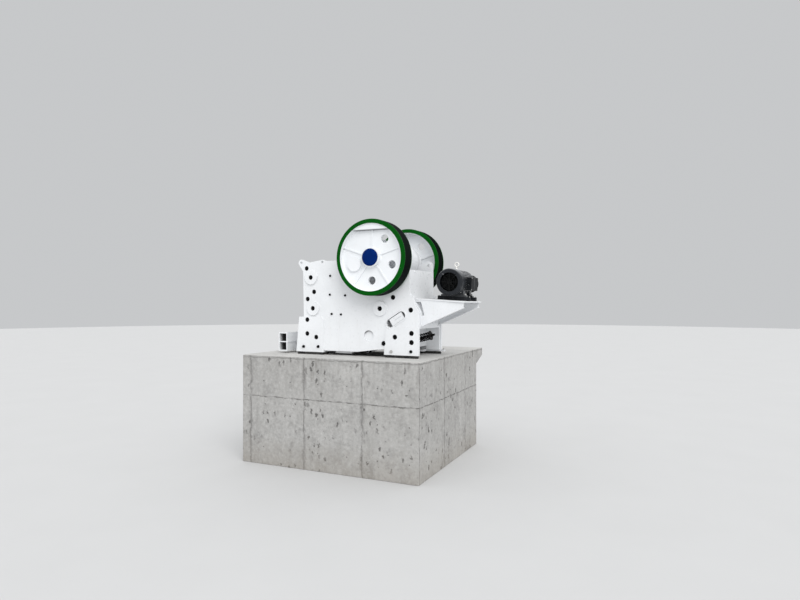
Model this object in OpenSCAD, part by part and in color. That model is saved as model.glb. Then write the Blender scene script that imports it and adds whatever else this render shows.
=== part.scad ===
// Jaw crusher on its concrete block, with the motor on a bracket behind it.
// +X points to the motor at the rear, +Z up and -Y is the near side.
// The origin is on the ground, straight below the middle of the flywheel shaft.

/* [Concrete block] */
// Height of the block above the ground
block_h = 2500; // [1800:20:3200]
// Reach of the block in front of the shaft
block_front = 3200; // [3100:20:3800]
// Reach of the block behind the shaft
block_back = 1290; // [1100:10:1800]
// Reach of the block on the near side
block_near = 1490; // [1300:10:2200]
// Reach of the block on the far side
block_far = 2430; // [1500:10:3000]
// Overhang of the walkway ledge along the far side
ledge_out = 530; // [200:10:800]
// Height of the upright face of the ledge
ledge_face_h = 200; // [120:10:300]
// Height of the slope below that face
ledge_slope_h = 190; // [80:10:400]
// Length of the discharge pit
pit_l = 1300; // [1240:10:1310]
// Width of the discharge pit
pit_w = 1000; // [700:10:1100]
// Distance of the pit's middle in front of the shaft
pit_x = 790; // [780:5:795]

/* [Frame] */
// Height of the shaft above the concrete
shaft_h = 2212; // [2150:2:2400]
// Clear width between the side plates
frame_w = 1310; // [1150:10:1500]
// Thickness of a side plate
plate_t = 60; // [40:2:80]
// Reach of the side plates in front of the shaft
frame_front = 2000; // [1960:10:2060]
// Reach of the side plates behind the shaft
frame_back = 960; // [950:5:1000]
// Radius of the plate round each bearing
cap_r = 430; // [400:5:460]
// Thickness of the rubber pads under the feet
pad_t = 60; // [30:5:80]
// Thickness of a foot's sole plate
sole_t = 40; // [25:5:60]
// Thickness of the plate that doubles a side plate at a foot
foot_t = 30; // [16:2:40]
// Width of a sole plate, across the machine
sole_w = 330; // [240:10:400]
// Radius of the bolt recesses in the side plates
recess_r = 56; // [40:1:58]
// Radius of the liner bolt holes in the side plates
liner_hole_r = 22; // [20:1:34]
// Radius of a raised boss round a recess
boss_r = 165; // [130:5:170]
// Height of a raised boss
boss_h = 40; // [15:5:50]
// Radius of the rounded end of a lifting lug
lug_r = 78; // [66:2:90]
// Radius of the hole in a lifting lug
lug_hole_r = 34; // [24:1:36]

/* [Crushing chamber] */
// Feed opening between the jaw plates' teeth, at the top
feed_gap = 870; // [800:10:940]
// Discharge gap between the teeth, at the bottom
set_gap = 150; // [110:5:200]
// Height of the bottom of the jaw plates above the concrete
jaw_low = 350; // [320:10:380]
// Height of the top of the jaw plates above the concrete
jaw_top = 2080; // [2000:10:2120]
// Thickness of a jaw plate below its teeth
jaw_t = 100; // [70:5:120]
// Height of the jaw plates' teeth
tooth_h = 40; // [20:2:50]
// Number of teeth across a jaw plate
teeth = 12; // [8:1:16]
// Thickness of the cheek plates beside the chamber
cheek_t = 40; // [25:5:50]
// Gap between a jaw plate and the cheek plates
jaw_side_gap = 15; // [8:1:25]
// Depth of the front frame casting
front_depth = 420; // [380:10:460]

/* [Drive] */
// Diameter of the flywheels
flywheel_d = 1680; // [1500:10:1720]
// Width of a flywheel's rim
rim_w = 381; // [300:1:420]
// Radial thickness of the rim
rim_t = 100; // [80:5:110]
// Gap between a side plate and its flywheel
flywheel_gap = 81; // [76:1:120]
// Thickness of a flywheel's web
web_t = 60; // [40:5:80]
// Depth of the web below the rim's outer face
web_depth = 120; // [80:5:150]
// Radius of a flywheel's hub
hub_r = 212; // [200:2:240]
// Radius of the cap on a hub
hub_cap_r = 190; // [165:1:195]
// Number of belt grooves in the far flywheel
grooves = 10; // [6:1:12]
// Depth of a belt groove
groove_depth = 22; // [12:1:26]
// Radius of the shaft in the frame's bearings
journal_r = 130; // [120:1:140]
// Radius of the shaft in the flywheels' hubs
seat_r = 115; // [95:1:117]
// Radius of the shaft's eccentric part
ecc_r = 165; // [162:1:180]
// Offset of the eccentric part
throw_e = 20; // [12:1:24]
// Outer radius of the pitman's barrel
barrel_r = 400; // [370:5:405]
// Angle of the toggle line above level
toggle_tilt = 32; // [30:0.5:34]

/* [Motor] */
// Slope of the motor bracket, down towards the rear
bracket_tilt = 3.5; // [0:0.5:5]
// Reach of the bracket's top plate behind the shaft
bracket_end = 1975; // [1950:5:2100]
// Thickness of the bracket's plates
bracket_t = 26; // [16:2:34]
// Height of the slide rails under the motor
rail_h = 85; // [60:5:100]
// Height of the motor shaft above its feet
motor_h = 315; // [305:5:340]
// Radius of the motor's fan cowl
cowl_r = 305; // [285:5:305]
// Length of the fan cowl
cowl_l = 240; // [180:10:280]
// Length of the finned motor frame
motor_l = 700; // [640:10:740]
// Radius of the motor frame under its fins
motor_r = 250; // [240:2:262]
// Height of the motor's fins
fin_h = 38; // [20:2:40]
// Number of the motor's fins
fins = 44; // [24:2:56]
// Radius of the motor's drive sheave
sheave_r = 215; // [160:5:240]

/* [Hidden] */

e = 1;                                   // overshoot of a cut past a face
seat_gap = 0.3;                          // gap at a loose seat
run_gap = 0.1;                           // running gap of the shaft in its bearings
key_gap = 0.05;                          // gap of a keyed hub on its shaft

xf = -frame_front;                       // front edge of the side plates
xb = frame_back;                         // rear edge of the side plates
in_y = frame_w / 2;                      // inner face of a side plate
out_y = in_y + plate_t;                  // outer face of a side plate
z_low = pad_t + sole_t;                  // lower edge of the side plates
z_top = shaft_h - 12;                    // upper edge of the side plates

// Front and rear feet
foot_front = xf - 210;
foot_front_end = xf + 550;
foot_front_h = 890;
foot_rear = xb - 825;
foot_rear_h = 680;
tab_l = 80;                              // tab behind the far rear foot

// Bolt recesses, as X and height above the concrete
front_bolts = [[xf + 60, z_top - 160], [xf + 200, z_top - 380], [xf + 270, 1480], [xf + 90, 1310],
    [xf + 260, 1090]];
foot_bolts_front = [[xf + 100, 820], [xf + 100, 490], [xf + 350, 410]];
rear_bolts = [[xb - 620, 1340], [xb - 930, 1090], [xb - 190, 1060]];
foot_bolts_rear = [[xb - 560, 460], [xb - 160, 550], [xb - 160, 350]];
foot_edge_bolts = [[xb - 845, 310]];
boss_at = [front_bolts[1], front_bolts[4], rear_bolts[1]];
small_bolts_front = [[xf, 180], [xf + 410, 190]];
small_bolts_rear = [[xb - 170, 150], [xb - 650, 135]];
lug_at = [xf - 90, z_top - 22];
rear_lug_at = [xb - 318, z_top - 89];
rear_lug_r = 105;
hump_at = [xf + 500, z_top - 20];
hump_hole_r = 30;
pocket_at = [xb - 1227, 470];            // shallow round pocket in a side plate
pocket_r = 125;
pocket_depth = 42;

// Chamber, with the tips of the fixed jaw's teeth as its front
back_x = xf + front_depth + 20;
fixed_x = back_x + jaw_t + tooth_h;
swing_dx = feed_gap - set_gap;
swing_dz = jaw_top - jaw_low;
swing_tilt = atan2(swing_dx, swing_dz);
swing_l = sqrt(swing_dx * swing_dx + swing_dz * swing_dz);
jaw_w = frame_w - 2 * cheek_t - 2 * jaw_side_gap;
liner_bolts = [[fixed_x + 140, 1850], [fixed_x + 130, 1410], [fixed_x + 540, 1390],
    [fixed_x + 180, 960], [fixed_x + 430, 950]];

// Toggle line, through the middle of the windows in the side plates
slot_at = [xb - 548, 850];
slot_half = 255;
slot_r = 95;
toggle_r = 45;
toggle_front = xf + 850;
toggle_rear = -410;
toggle_w = 900;
wall_at = 190;                           // thrust wall, along the toggle line
seat_block_h = 160;
seat_block_l = 80;
wedge_h = 170;

// Flywheels and shaft
fw_r = flywheel_d / 2;
fw_in = out_y + flywheel_gap;            // inner face of a flywheel
fw_out = fw_in + rim_w;
housing_flange_t = 30;
housing_flange_r = 370;
housing_spigot_r = 290;
housing_in = in_y - 30;
hub_in = out_y + housing_flange_t + 12;
hub_out = fw_out - 10;
ecc_half = jaw_w / 2 - 10;
pitman_bore_r = ecc_r + throw_e + 0.5;

// Motor bracket, whose top plate passes through this point
shelf_z = 1250;
shelf_x = xb - 215;
rear_x = xb - 25;                        // rear face of the rear frame
rear_bend = 1010;                        // where that face starts to lean forward
rear_slope = 150;
root_low = 700;                          // lower edge of the bracket's root
bracket_x = xb;
bracket_z = 1312;
bracket_half = in_y - 55;                // half the width of the bracket's top plate
bracket_web_y = in_y - 110;
bracket_tip = bracket_end - 35;
motor_x = 1495 - bracket_x;
motor_near = -330;
foot_first = 160;                        // the motor's first foot, from its fan end
foot_pitch = motor_l - 243;

function top_z(x) = bracket_z - (x - bracket_x) * tan(bracket_tilt);
function under_z(x) = top_z(x) - bracket_t / cos(bracket_tilt);
function arc(c, r, a0, a1, n) = [for (i = [0 : n]) let (a = a0 + (a1 - a0) * i / n)
    [c[0] + r * cos(a), c[1] + r * sin(a)]];
function reverse(list) = [for (i = [len(list) - 1 : -1 : 0]) list[i]];

// Lifts a piece from the top of the concrete
module on_block() { translate([0, 0, block_h]) children(); }

// An outline in X and Z, thick between y0 and y1
module slab(y0, y1) { translate([0, y1, 0]) rotate([90, 0, 0]) linear_extrude(y1 - y0) children(); }

// A bar along Y, between y0 and y1, turned about its own axis
module bar(at, r, y0, y1, fn = 48, turn = 0) {
    translate([at[0], y1, at[1]]) rotate([90, 0, 0]) rotate([0, 0, turn])
        cylinder(h = y1 - y0, r = r, $fn = fn);
}

// Copies a near-side piece to the far side
module far_side() { mirror([0, 1, 0]) children(); }

// Local frame of the toggle line: X runs up to the rear
module on_toggle() { translate([slot_at[0], 0, slot_at[1]]) rotate([0, -toggle_tilt, 0]) children(); }

// Local frame of the swing jaw: its tooth tips lie at X = 0 and Z runs up
function swing_frame(p) = let (dx = p[0] - fixed_x - feed_gap, dz = p[1] - jaw_top)
    [dx * cos(swing_tilt) - dz * sin(swing_tilt), dx * sin(swing_tilt) + dz * cos(swing_tilt)];
module on_swing() {
    translate([fixed_x + feed_gap, 0, jaw_top]) rotate([0, swing_tilt, 0]) children();
}

// Local frame of the bracket's top face: X runs to the rear
module on_bracket() { translate([bracket_x, 0, bracket_z]) rotate([0, bracket_tilt, 0]) children(); }

module block(x0, x1, y0, y1, z0, z1) { translate([x0, y0, z0]) cube([x1 - x0, y1 - y0, z1 - z0]); }

module foundation_block() {
    color("silver") difference() {
        rotate([90, 0, 90]) translate([0, 0, -block_front]) linear_extrude(block_front + block_back)
            polygon([[-block_near, 0], [block_far, 0],
                [block_far, block_h - ledge_face_h - ledge_slope_h],
                [block_far + ledge_out, block_h - ledge_face_h], [block_far + ledge_out, block_h],
                [-block_near, block_h]]);
        block(-pit_x - pit_l / 2, -pit_x + pit_l / 2, -pit_w / 2, pit_w / 2, -e, block_h + e);
    }
}

module foot_pads(x0, x1, width) {
    color("dimgray") for (s = [0, 1]) mirror([0, s, 0]) on_block()
        block(x0, x1, -out_y - foot_t + 15, -out_y - foot_t + width - 20, 0, pad_t);
}
module front_foot_pads() { foot_pads(foot_front + 30, foot_front_end - 30, sole_w); }
module rear_foot_pads() { foot_pads(foot_rear + 20, xb - 20, foot_t + plate_t + 20); }

// Outline of a side plate
module plate_outline() {
    polygon(concat(
        [[xf, z_low], [foot_rear - 690, z_low], [foot_rear + 20, z_low + 90], [foot_rear + 20, z_low],
            [xb, z_low], [xb, 1030], [xb - 100, 1200], [xb - 130, 1380], [shelf_x, 1380]],
        arc(rear_lug_at, rear_lug_r, -10, 110, 12),
        arc([0, shaft_h], cap_r, -12, 180, 30),
        [[hump_at[0] + 120, z_top]],
        arc(hump_at, 55, 75, 120, 4),
        [[xf + 140, z_top - 20]],
        arc(lug_at, lug_r, 62, 216, 12),
        [[xf - 40, z_top - 230]]));
}

// The window round a wedge, as a bar with round ends
module window(r, y0, y1) {
    on_toggle() {
        block(-slot_half + slot_r, slot_half - slot_r, y0, y1, -r, r);
        for (s = [-1, 1]) bar([s * (slot_half - slot_r), 0], r, y0, y1);
    }
}

module side_plate() {
    color("white") on_block() difference() {
        union() {
            slab(-out_y, -in_y) plate_outline();
            for (b = boss_at) bar(b, boss_r, -out_y - boss_h, -out_y + e);
            window(slot_r + 26, -out_y - 14, -out_y + e);
        }
        bar([0, shaft_h], housing_spigot_r + key_gap, -out_y - e, -in_y + e, 96);
        for (b = concat(front_bolts, rear_bolts, foot_bolts_front, foot_bolts_rear, foot_edge_bolts))
            bar(b, recess_r, -out_y - boss_h - e, -in_y + e);
        for (b = liner_bolts) bar(b, liner_hole_r, -out_y - e, -in_y + e, 32);
        for (b = concat([small_bolts_front[1]], small_bolts_rear))
            bar(b, liner_hole_r, -out_y - e, -in_y + e, 32);
        window(slot_r, -out_y - 14 - e, -in_y + e);
        bar(pocket_at, pocket_r, -out_y - e, -out_y + pocket_depth);
        bar(lug_at, lug_hole_r, -out_y - e, -in_y + e, 32);
        bar(hump_at, hump_hole_r, -out_y - e, -in_y + e, 32);
        bar(rear_lug_at, lug_hole_r, -out_y - e, -in_y + e, 32);
    }
}
module near_side_plate() { side_plate(); }
module far_side_plate() { far_side() side_plate(); }

// A foot: the doubling plate outside the side plate, and the sole plate under it
module foot(outline, x0, x1, inner_end, holes, small_holes) {
    color("white") on_block() difference() {
        union() {
            slab(-out_y - foot_t, -out_y) polygon(outline);
            block(x0, inner_end, -out_y - foot_t, -out_y - foot_t + sole_w, pad_t, z_low);
            block(x0, x1, -out_y - foot_t, -in_y, pad_t, z_low);
        }
        for (b = holes) bar(b, recess_r, -out_y - foot_t - e, -out_y + e);
        for (b = small_holes) bar(b, liner_hole_r, -out_y - foot_t - e, -out_y + e, 32);
    }
}
module front_foot() {
    foot([[foot_front, pad_t], [foot_front_end, pad_t], [foot_front_end, foot_front_h - 60],
        [foot_front_end - 60, foot_front_h], [foot_front + 80, foot_front_h]],
        foot_front, foot_front_end, foot_front_end, foot_bolts_front, small_bolts_front);
}
module rear_foot() {
    difference() {
        foot([[foot_rear, pad_t], [xb, pad_t], [xb, foot_rear_h], [foot_rear + 40, foot_rear_h]],
            foot_rear, xb, bay_x, concat(foot_bolts_rear, foot_edge_bolts), small_bolts_rear);
        on_block() window(slot_r + 27, -out_y - foot_t - e, -out_y + e);
    }
}
module near_front_foot() { front_foot(); }
module far_front_foot() { far_side() front_foot(); }
module near_rear_foot() { rear_foot(); }
module far_rear_foot() {
    far_side() rear_foot();
    color("white") on_block() difference() {
        block(xb - e, xb + tab_l, in_y, out_y + foot_t, pad_t, z_low);
        translate([xb + tab_l - 34, out_y, pad_t - e]) cylinder(h = sole_t + 2 * e, r = 16, $fn = 24);
    }
}

// Front frame: a wall behind the fixed jaw, with a waffle of ribs in front
rib_t = 50;
front_wall = 90;
front_top = jaw_top + 30;
bays_y = 4;
bays_z = 5;
module front_frame() {
    bay_w = (frame_w - 2 * 80 - (bays_y - 1) * rib_t) / bays_y;
    bay_h = (front_top - z_low - (bays_z + 1) * rib_t) / bays_z;
    color("white") on_block() difference() {
        union() {
            block(xf + 20, back_x, -in_y, in_y, z_low, front_top);
            block(back_x - e, back_x + jaw_t - 10, -jaw_w / 2, jaw_w / 2, jaw_low - 70, jaw_low);
        }
        for (i = [0 : bays_y - 1], k = [0 : bays_z - 1])
            translate([xf + 20 - e, -in_y + 80 + i * (bay_w + rib_t), z_low + rib_t + k * (bay_h + rib_t)])
                cube([front_depth - front_wall, bay_w, bay_h]);
    }
}

// Beam in front of the feet: two open cells, held off the frame by webs
beam_reach = 750;
beam_x = xf - beam_reach;
beam_l = 250;
beam_low = 50;
beam_h = 450;
beam_wall = 26;
module front_beam() {
    color("white") on_block() {
        difference() {
            block(beam_x, beam_x + beam_l, -out_y, out_y, beam_low, beam_low + beam_h);
            for (k = [0, 1]) block(beam_x + beam_wall, beam_x + beam_l - beam_wall,
                -out_y - e, out_y + e, beam_low + beam_wall + k * (beam_h - beam_wall) / 2,
                beam_low + (k + 1) * (beam_h - beam_wall) / 2);
        }
        block(beam_x + beam_l - e, beam_x + beam_l + 18, -out_y, out_y,
            beam_low + (beam_h - beam_wall) / 2, beam_low + (beam_h + beam_wall) / 2);
        for (y = [-230, 230]) block(beam_x + beam_l, xf + 20, y - rib_t / 2, y + rib_t / 2,
            z_low, beam_low + beam_h - 40);
    }
}

// Rear frame: a ribbed casting with a channel for the toggle, the beam and the wedges
rear_reach = 1020;
rear_front = xb - rear_reach;
rear_top = 1430;
rear_low = 190;
rear_belly = 640;
bay_l = 360;                             // open bay at the rear, round the spring
bay_x = xb - bay_l;
rod_boss_r = 112;
rod_boss_h = 30;
module rear_frame() {
    bay = (frame_w - 4 * rib_t) / 3;
    color("white") on_block() difference() {
        union() {
            difference() {
                slab(-in_y, in_y) polygon([[rear_front + 120, rear_low], [bay_x, rear_low],
                    [bay_x, z_low], [rear_x, z_low], [rear_x, rear_bend],
                    [rear_x - rear_slope, shelf_z], [shelf_x + 22, shelf_z], [shelf_x + 22, rear_top],
                    [xb - 710, rear_top], [rear_front, 1190], [rear_front, 740],
                    [rear_front + 120, rear_belly]]);
                on_toggle() block(-1000, wall_at, -in_y - e, in_y + e, -wedge_h / 2 - 4, wedge_h / 2 + 4);
                for (i = [0 : 2]) translate([0, -in_y + rib_t + i * (bay + rib_t), 0]) {
                    block(xb - 860, shelf_x - 40, 0, bay, 1130, rear_top + e);
                    block(xb - 850, bay_x - 60, 0, bay, rear_low - e, 410);
                }
                block(bay_x, rear_x + e, -in_y + rib_t, in_y - rib_t, z_low - e, rear_belly);
            }
            on_rod() bar_x(rod_boss_r, rod_l - 40, rod_l + rod_boss_h, 64);
        }
        on_rod() bar_x(60, 0, rod_l + rod_boss_h + e);
    }
}

module rear_cover() {
    color("white") on_block() difference() {
        block(shelf_x - 20, shelf_x, -in_y, in_y, rear_top, shaft_h - 255);
        for (y = [-420, 420]) translate([shelf_x - 20 - e, y, shaft_h - 300]) rotate([0, 90, 0])
            cylinder(h = 20 + 2 * e, r = 14, $fn = 24);
    }
}

// Cross-section of a jaw plate: X is its thickness and the teeth point to -X
module jaw_section() {
    pitch = jaw_w / teeth;
    polygon(concat([[tooth_h + jaw_t, -jaw_w / 2]],
        [[tooth_h, -jaw_w / 2]],
        [for (i = [0 : teeth - 1], p = [[0.2, 0.6], [0.38, 0], [0.62, 0], [0.8, 0.6], [0.9, 1]])
            [tooth_h * p[1], -jaw_w / 2 + (i + p[0]) * pitch]],
        [[tooth_h, jaw_w / 2]],
        [[tooth_h + jaw_t, jaw_w / 2]]));
}

module fixed_jaw_plate() {
    color("gray") on_block() translate([fixed_x, 0, jaw_low]) mirror([1, 0, 0])
        linear_extrude(jaw_top - jaw_low) jaw_section();
}

module fixed_jaw_retainer() {
    color("white") on_block() block(back_x, back_x + jaw_t - 10, -jaw_w / 2, jaw_w / 2,
        jaw_top, jaw_top + 60);
}

module swing_jaw_plate() {
    color("gray") on_block() on_swing() translate([0, 0, -swing_l]) linear_extrude(swing_l) jaw_section();
}

// Bar that holds the top of the swing jaw plate against the pitman
module swing_jaw_wedge() {
    color("white") on_block() on_swing() slab(-jaw_w / 2, jaw_w / 2)
        polygon([[tooth_h + 15, 0], [tooth_h + jaw_t, 0], [tooth_h + jaw_t, 72], [tooth_h + 50, 72]]);
}

module cheek_plate() {
    color("gray") on_block() difference() {
        slab(-in_y, -in_y + cheek_t) polygon([[back_x, jaw_low - 20], [back_x, jaw_top + 60],
            [fixed_x + feed_gap + 90, jaw_top + 60],
            [fixed_x + set_gap + 170, jaw_low - 20]]);
        for (b = liner_bolts) bar(b, liner_hole_r, -in_y - e, -in_y + cheek_t + e, 32);
    }
}
module near_cheek_plate() { cheek_plate(); }
module far_cheek_plate() { far_side() cheek_plate(); }

// Pitman: the barrel round the shaft and the jaw's back, ribbed behind
rod_at = [xf + 1360, 60];
rod_end = [bay_x, 380];
rod_tilt = atan2(rod_end[1] - rod_at[1], rod_end[0] - rod_at[0]);
module on_rod() { translate([rod_at[0], 0, rod_at[1]]) rotate([0, -rod_tilt, 0]) children(); }
module bar_x(r, x0, x1, fn = 32) {
    translate([x0, 0, 0]) rotate([0, 90, 0]) cylinder(h = x1 - x0, r = r, $fn = fn);
}

module pitman() {
    face = tooth_h + jaw_t;
    lip = swing_l + 2;
    mid = swing_frame([0, shaft_h]);     // middle of the barrel, in the swing jaw's frame
    color("white") on_block() difference() {
        union() {
            bar([0, shaft_h], barrel_r, -jaw_w / 2, jaw_w / 2, 96, -115);
            on_swing() slab(5 - jaw_w / 2, jaw_w / 2 - 5) polygon([[face, mid[1] - 120], [face, -lip],
                [face - 75, -lip], [face - 75, -lip - 50], [face + 40, -lip - 254],
                [face + 420, -lip - 99], [face + 580, -lip + 120], [face + 600, -lip + 330],
                [face + 470, -lip + 560], [face + 380, -lip + 1000], [face + 420, -lip + 1600],
                [mid[0] + 330, mid[1] - 90], mid]);
            for (s = [-1, 1]) slab(s * 48 - 13, s * 48 + 13)
                polygon(concat(arc(rod_at, 42, 180, 360, 12), [[rod_at[0] + 42, 190], [rod_at[0] - 42, 190]]));
        }
        bar([0, shaft_h], pitman_bore_r, -jaw_w / 2 - e, jaw_w / 2 + e, 96);
        on_toggle() {
            block(toggle_front - 15, -500, -jaw_w, jaw_w, -400, 190);
            block(toggle_front - 15 - seat_block_l, -500, -toggle_w / 2 - 8, toggle_w / 2 + 8,
                -seat_block_h / 2, seat_block_h / 2);
        }
        for (i = [-1 : 1]) on_swing()
            block(face + 110, face + 900, i * (jaw_w - 90) / 3 - (jaw_w - 90) / 6 + 22,
                i * (jaw_w - 90) / 3 + (jaw_w - 90) / 6 - 22, -lip + 660, -lip + 1500);
        bar(rod_at, rod_pin_r + key_gap, -80, 80, 32);
    }
}

module bearing_housing() {
    color("white") on_block() difference() {
        union() {
            bar([0, shaft_h], housing_flange_r, -out_y - housing_flange_t, -out_y, 96);
            bar([0, shaft_h], housing_spigot_r, -out_y - e, -housing_in, 96);
        }
        bar([0, shaft_h], journal_r + run_gap, -out_y - housing_flange_t - e, -housing_in + e, 96);
    }
}
module near_bearing_housing() { bearing_housing(); }
module far_bearing_housing() { far_side() bearing_housing(); }

module eccentric_shaft() {
    color("gray") on_block() {
        bar([0, shaft_h - throw_e], ecc_r, -ecc_half, ecc_half, 96);
        for (s = [0, 1]) mirror([0, s, 0]) {
            bar([0, shaft_h], journal_r, -hub_in, -ecc_half + e, 96);
            bar([0, shaft_h], seat_r, -hub_out + 20, -hub_in + e, 96);
        }
    }
}

// Flywheel: Z = 0 is the inner face of the rim and the hub cap is at the top
web_top = rim_w - web_depth;
web_low = web_top - web_t;
hole_at = 0.6;
module flywheel(groove_count) {
    inner = fw_r - rim_t;
    pitch = rim_w / (grooves + 1);
    groove_edge = [for (i = [1 : 1 : groove_count], p = [[-0.38, 0], [-0.14, 1], [0.14, 1], [0.38, 0]])
        [fw_r - groove_depth * p[1], (i + p[0]) * pitch]];
    difference() {
        union() {
            rotate_extrude($fn = 120) polygon(concat(
                [[seat_r + key_gap, hub_in - fw_in], [hub_r - 20, hub_in - fw_in], [hub_r, hub_in - fw_in + 20],
                    [hub_r, web_low - 20], [hub_r + 20, web_low], [inner - 20, web_low], [inner, web_low - 20],
                    [inner, 0], [fw_r - 10, 0], [fw_r, 10]],
                groove_edge,
                [[fw_r, rim_w - 10], [fw_r - 10, rim_w], [inner, rim_w], [inner, web_top + 25],
                    [inner - 25, web_top], [hub_r + 25, web_top], [hub_r, web_top + 25],
                    [hub_r, hub_out - fw_in], [seat_r + key_gap, hub_out - fw_in]]));
            for (i = [0 : 4]) rotate([0, 0, 17 + 72 * i])
                translate([hub_r - 10, -16, web_low - 24]) cube([inner - hub_r + 20, 32, web_t + 48]);
            counterweight(inner);
        }
        for (a = [53, 269, 341]) rotate([0, 0, a]) translate([hole_at * fw_r, 0, web_low - 40])
            cylinder(h = web_t + 80, r = 90, $fn = 48);
    }
    rotate([0, 0, 197]) translate([0.54 * fw_r, 0, web_top - e]) cylinder(h = 50, r = 165, $fn = 64);
}

// Counterweight: a segment of the rim's hollow above a level chord
module counterweight(inner) {
    half = acos(0.73 * fw_r / (inner + 10));
    translate([0, 0, web_top - e]) linear_extrude(web_depth - 28)
        polygon(arc([0, 0], inner + 10, 90 - half, 90 + half, 24));
}

module near_flywheel() {
    color("green") on_block() translate([0, -fw_in, shaft_h]) rotate([90, 0, 0]) flywheel(0);
}
module far_flywheel() {
    color("green") on_block() far_side() translate([0, -fw_in, shaft_h]) rotate([90, 0, 0])
        flywheel(grooves);
}

module hub_cap() {
    color("blue") on_block() translate([0, -hub_out, shaft_h]) rotate([90, 0, 0])
        rotate_extrude($fn = 96) polygon([[0, 0], [hub_cap_r, 0], [hub_cap_r, 14], [hub_cap_r - 14, 24],
            [60, 34], [0, 34]]);
}
module near_hub_cap() { hub_cap(); }
module far_hub_cap() { far_side() hub_cap(); }

// Toggle plate: thin in the middle, with a round bead in each seat
module toggle_plate() {
    color("white") on_block() on_toggle() union() {
        slab(-toggle_w / 2, toggle_w / 2) polygon([[toggle_front, -toggle_r + 12], [toggle_front + 120, -30],
            [toggle_rear - 120, -30], [toggle_rear, -toggle_r + 12], [toggle_rear, toggle_r - 12],
            [toggle_rear - 120, 30], [toggle_front + 120, 30], [toggle_front, toggle_r - 12]]);
        for (x = [toggle_front, toggle_rear]) bar([x, 0], toggle_r, -toggle_w / 2, toggle_w / 2, 64);
    }
}

module toggle_seat() {
    difference() {
        block(-seat_block_l - 15, -15 - seat_gap, -toggle_w / 2 - 7, toggle_w / 2 + 7,
            -seat_block_h / 2 + seat_gap, seat_block_h / 2 - seat_gap);
        bar([0, 0], toggle_r + seat_gap, -toggle_w, toggle_w, 64);
    }
}
module pitman_toggle_seat() {
    color("gray") on_block() on_toggle() translate([toggle_front, 0, 0]) toggle_seat();
}
module beam_toggle_seat() {
    color("gray") on_block() on_toggle() translate([toggle_rear, 0, 0]) mirror([1, 0, 0]) toggle_seat();
}

// Toggle beam and the two wedges behind it; the wedges taper towards the middle
wedge_out = -150;
wedge_in = -70;
wedge_end = out_y - 14;
wedge_mid = 45;
function wedge_x(y) = wedge_in + (wedge_out - wedge_in) * (y - wedge_mid) / (wedge_end - wedge_mid);
beam_half = in_y - 120;
module toggle_beam() {
    color("white") on_block() on_toggle() translate([0, 0, -wedge_h / 2]) linear_extrude(wedge_h)
        polygon([[toggle_rear + seat_block_l + 15, -beam_half], [wedge_x(beam_half) - seat_gap, -beam_half],
            [wedge_x(wedge_mid) - seat_gap, -wedge_mid], [wedge_x(wedge_mid) - seat_gap, wedge_mid],
            [wedge_x(beam_half) - seat_gap, beam_half], [toggle_rear + seat_block_l + 15, beam_half]]);
}
module adjusting_wedge() {
    color("white") on_block() on_toggle() difference() {
        translate([0, 0, -wedge_h / 2]) linear_extrude(wedge_h)
            polygon([[wedge_x(wedge_end), -wedge_end], [wedge_x(wedge_mid), -wedge_mid],
                [wall_at, -wedge_mid], [wall_at, -wedge_end]]);
        block(wedge_x(wedge_end) + 90, wall_at - 60, -wedge_end - e, -wedge_end + 14, -7, 7);
    }
}
module near_adjusting_wedge() { adjusting_wedge(); }
module far_adjusting_wedge() { far_side() adjusting_wedge(); }

// Tension rod: an eye on the pitman's pin, the rod and the spring's end plate
rod_r = 25;
rod_pin_r = 20;
spring_plate_t = 20;
rod_l = (rod_end[0] - rod_at[0]) / cos(rod_tilt);
spring_from = rod_l + rod_boss_h;
spring_l = 330;
module tension_rod() {
    color("silver") on_block() {
        on_rod() {
            difference() {
                union() {
                    bar([0, 0], 40, -34, 34);
                    bar_x(rod_r, 30, spring_from + spring_l + 110);
                }
                bar([0, 0], rod_pin_r + key_gap, -60, 60, 32);
            }
            bar_x(108, spring_from + spring_l, spring_from + spring_l + spring_plate_t, 48);
            translate([spring_from + spring_l + spring_plate_t, 0, 0]) bar_x(42, 0, 42, 6);
        }
        bar(rod_at, rod_pin_r, -74, 74, 32);
    }
}

// Coil spring as one swept polyhedron
spring_r = 82;
wire_r = 14;
spring_turns = 6;
ring_n = 16;
wire_n = 8;
module tension_spring() {
    steps = spring_turns * ring_n;
    rise = spring_l - 2 * wire_r;
    pts = [for (i = [0 : steps], j = [0 : wire_n - 1]) let (a = 360 * i / ring_n, b = 360 * j / wire_n,
        r = spring_r + wire_r * cos(b))
        [spring_from + wire_r + rise * i / steps + wire_r * sin(b), r * cos(a), r * sin(a)]];
    sides = [for (i = [0 : steps - 1], j = [0 : wire_n - 1]) let (k = (j + 1) % wire_n)
        [i * wire_n + j, i * wire_n + k, (i + 1) * wire_n + k, (i + 1) * wire_n + j]];
    ends = [[for (j = [wire_n - 1 : -1 : 0]) j], [for (j = [0 : wire_n - 1]) steps * wire_n + j]];
    color("dimgray") on_block() on_rod() polyhedron(points = pts, faces = concat(sides, ends));
}

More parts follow.
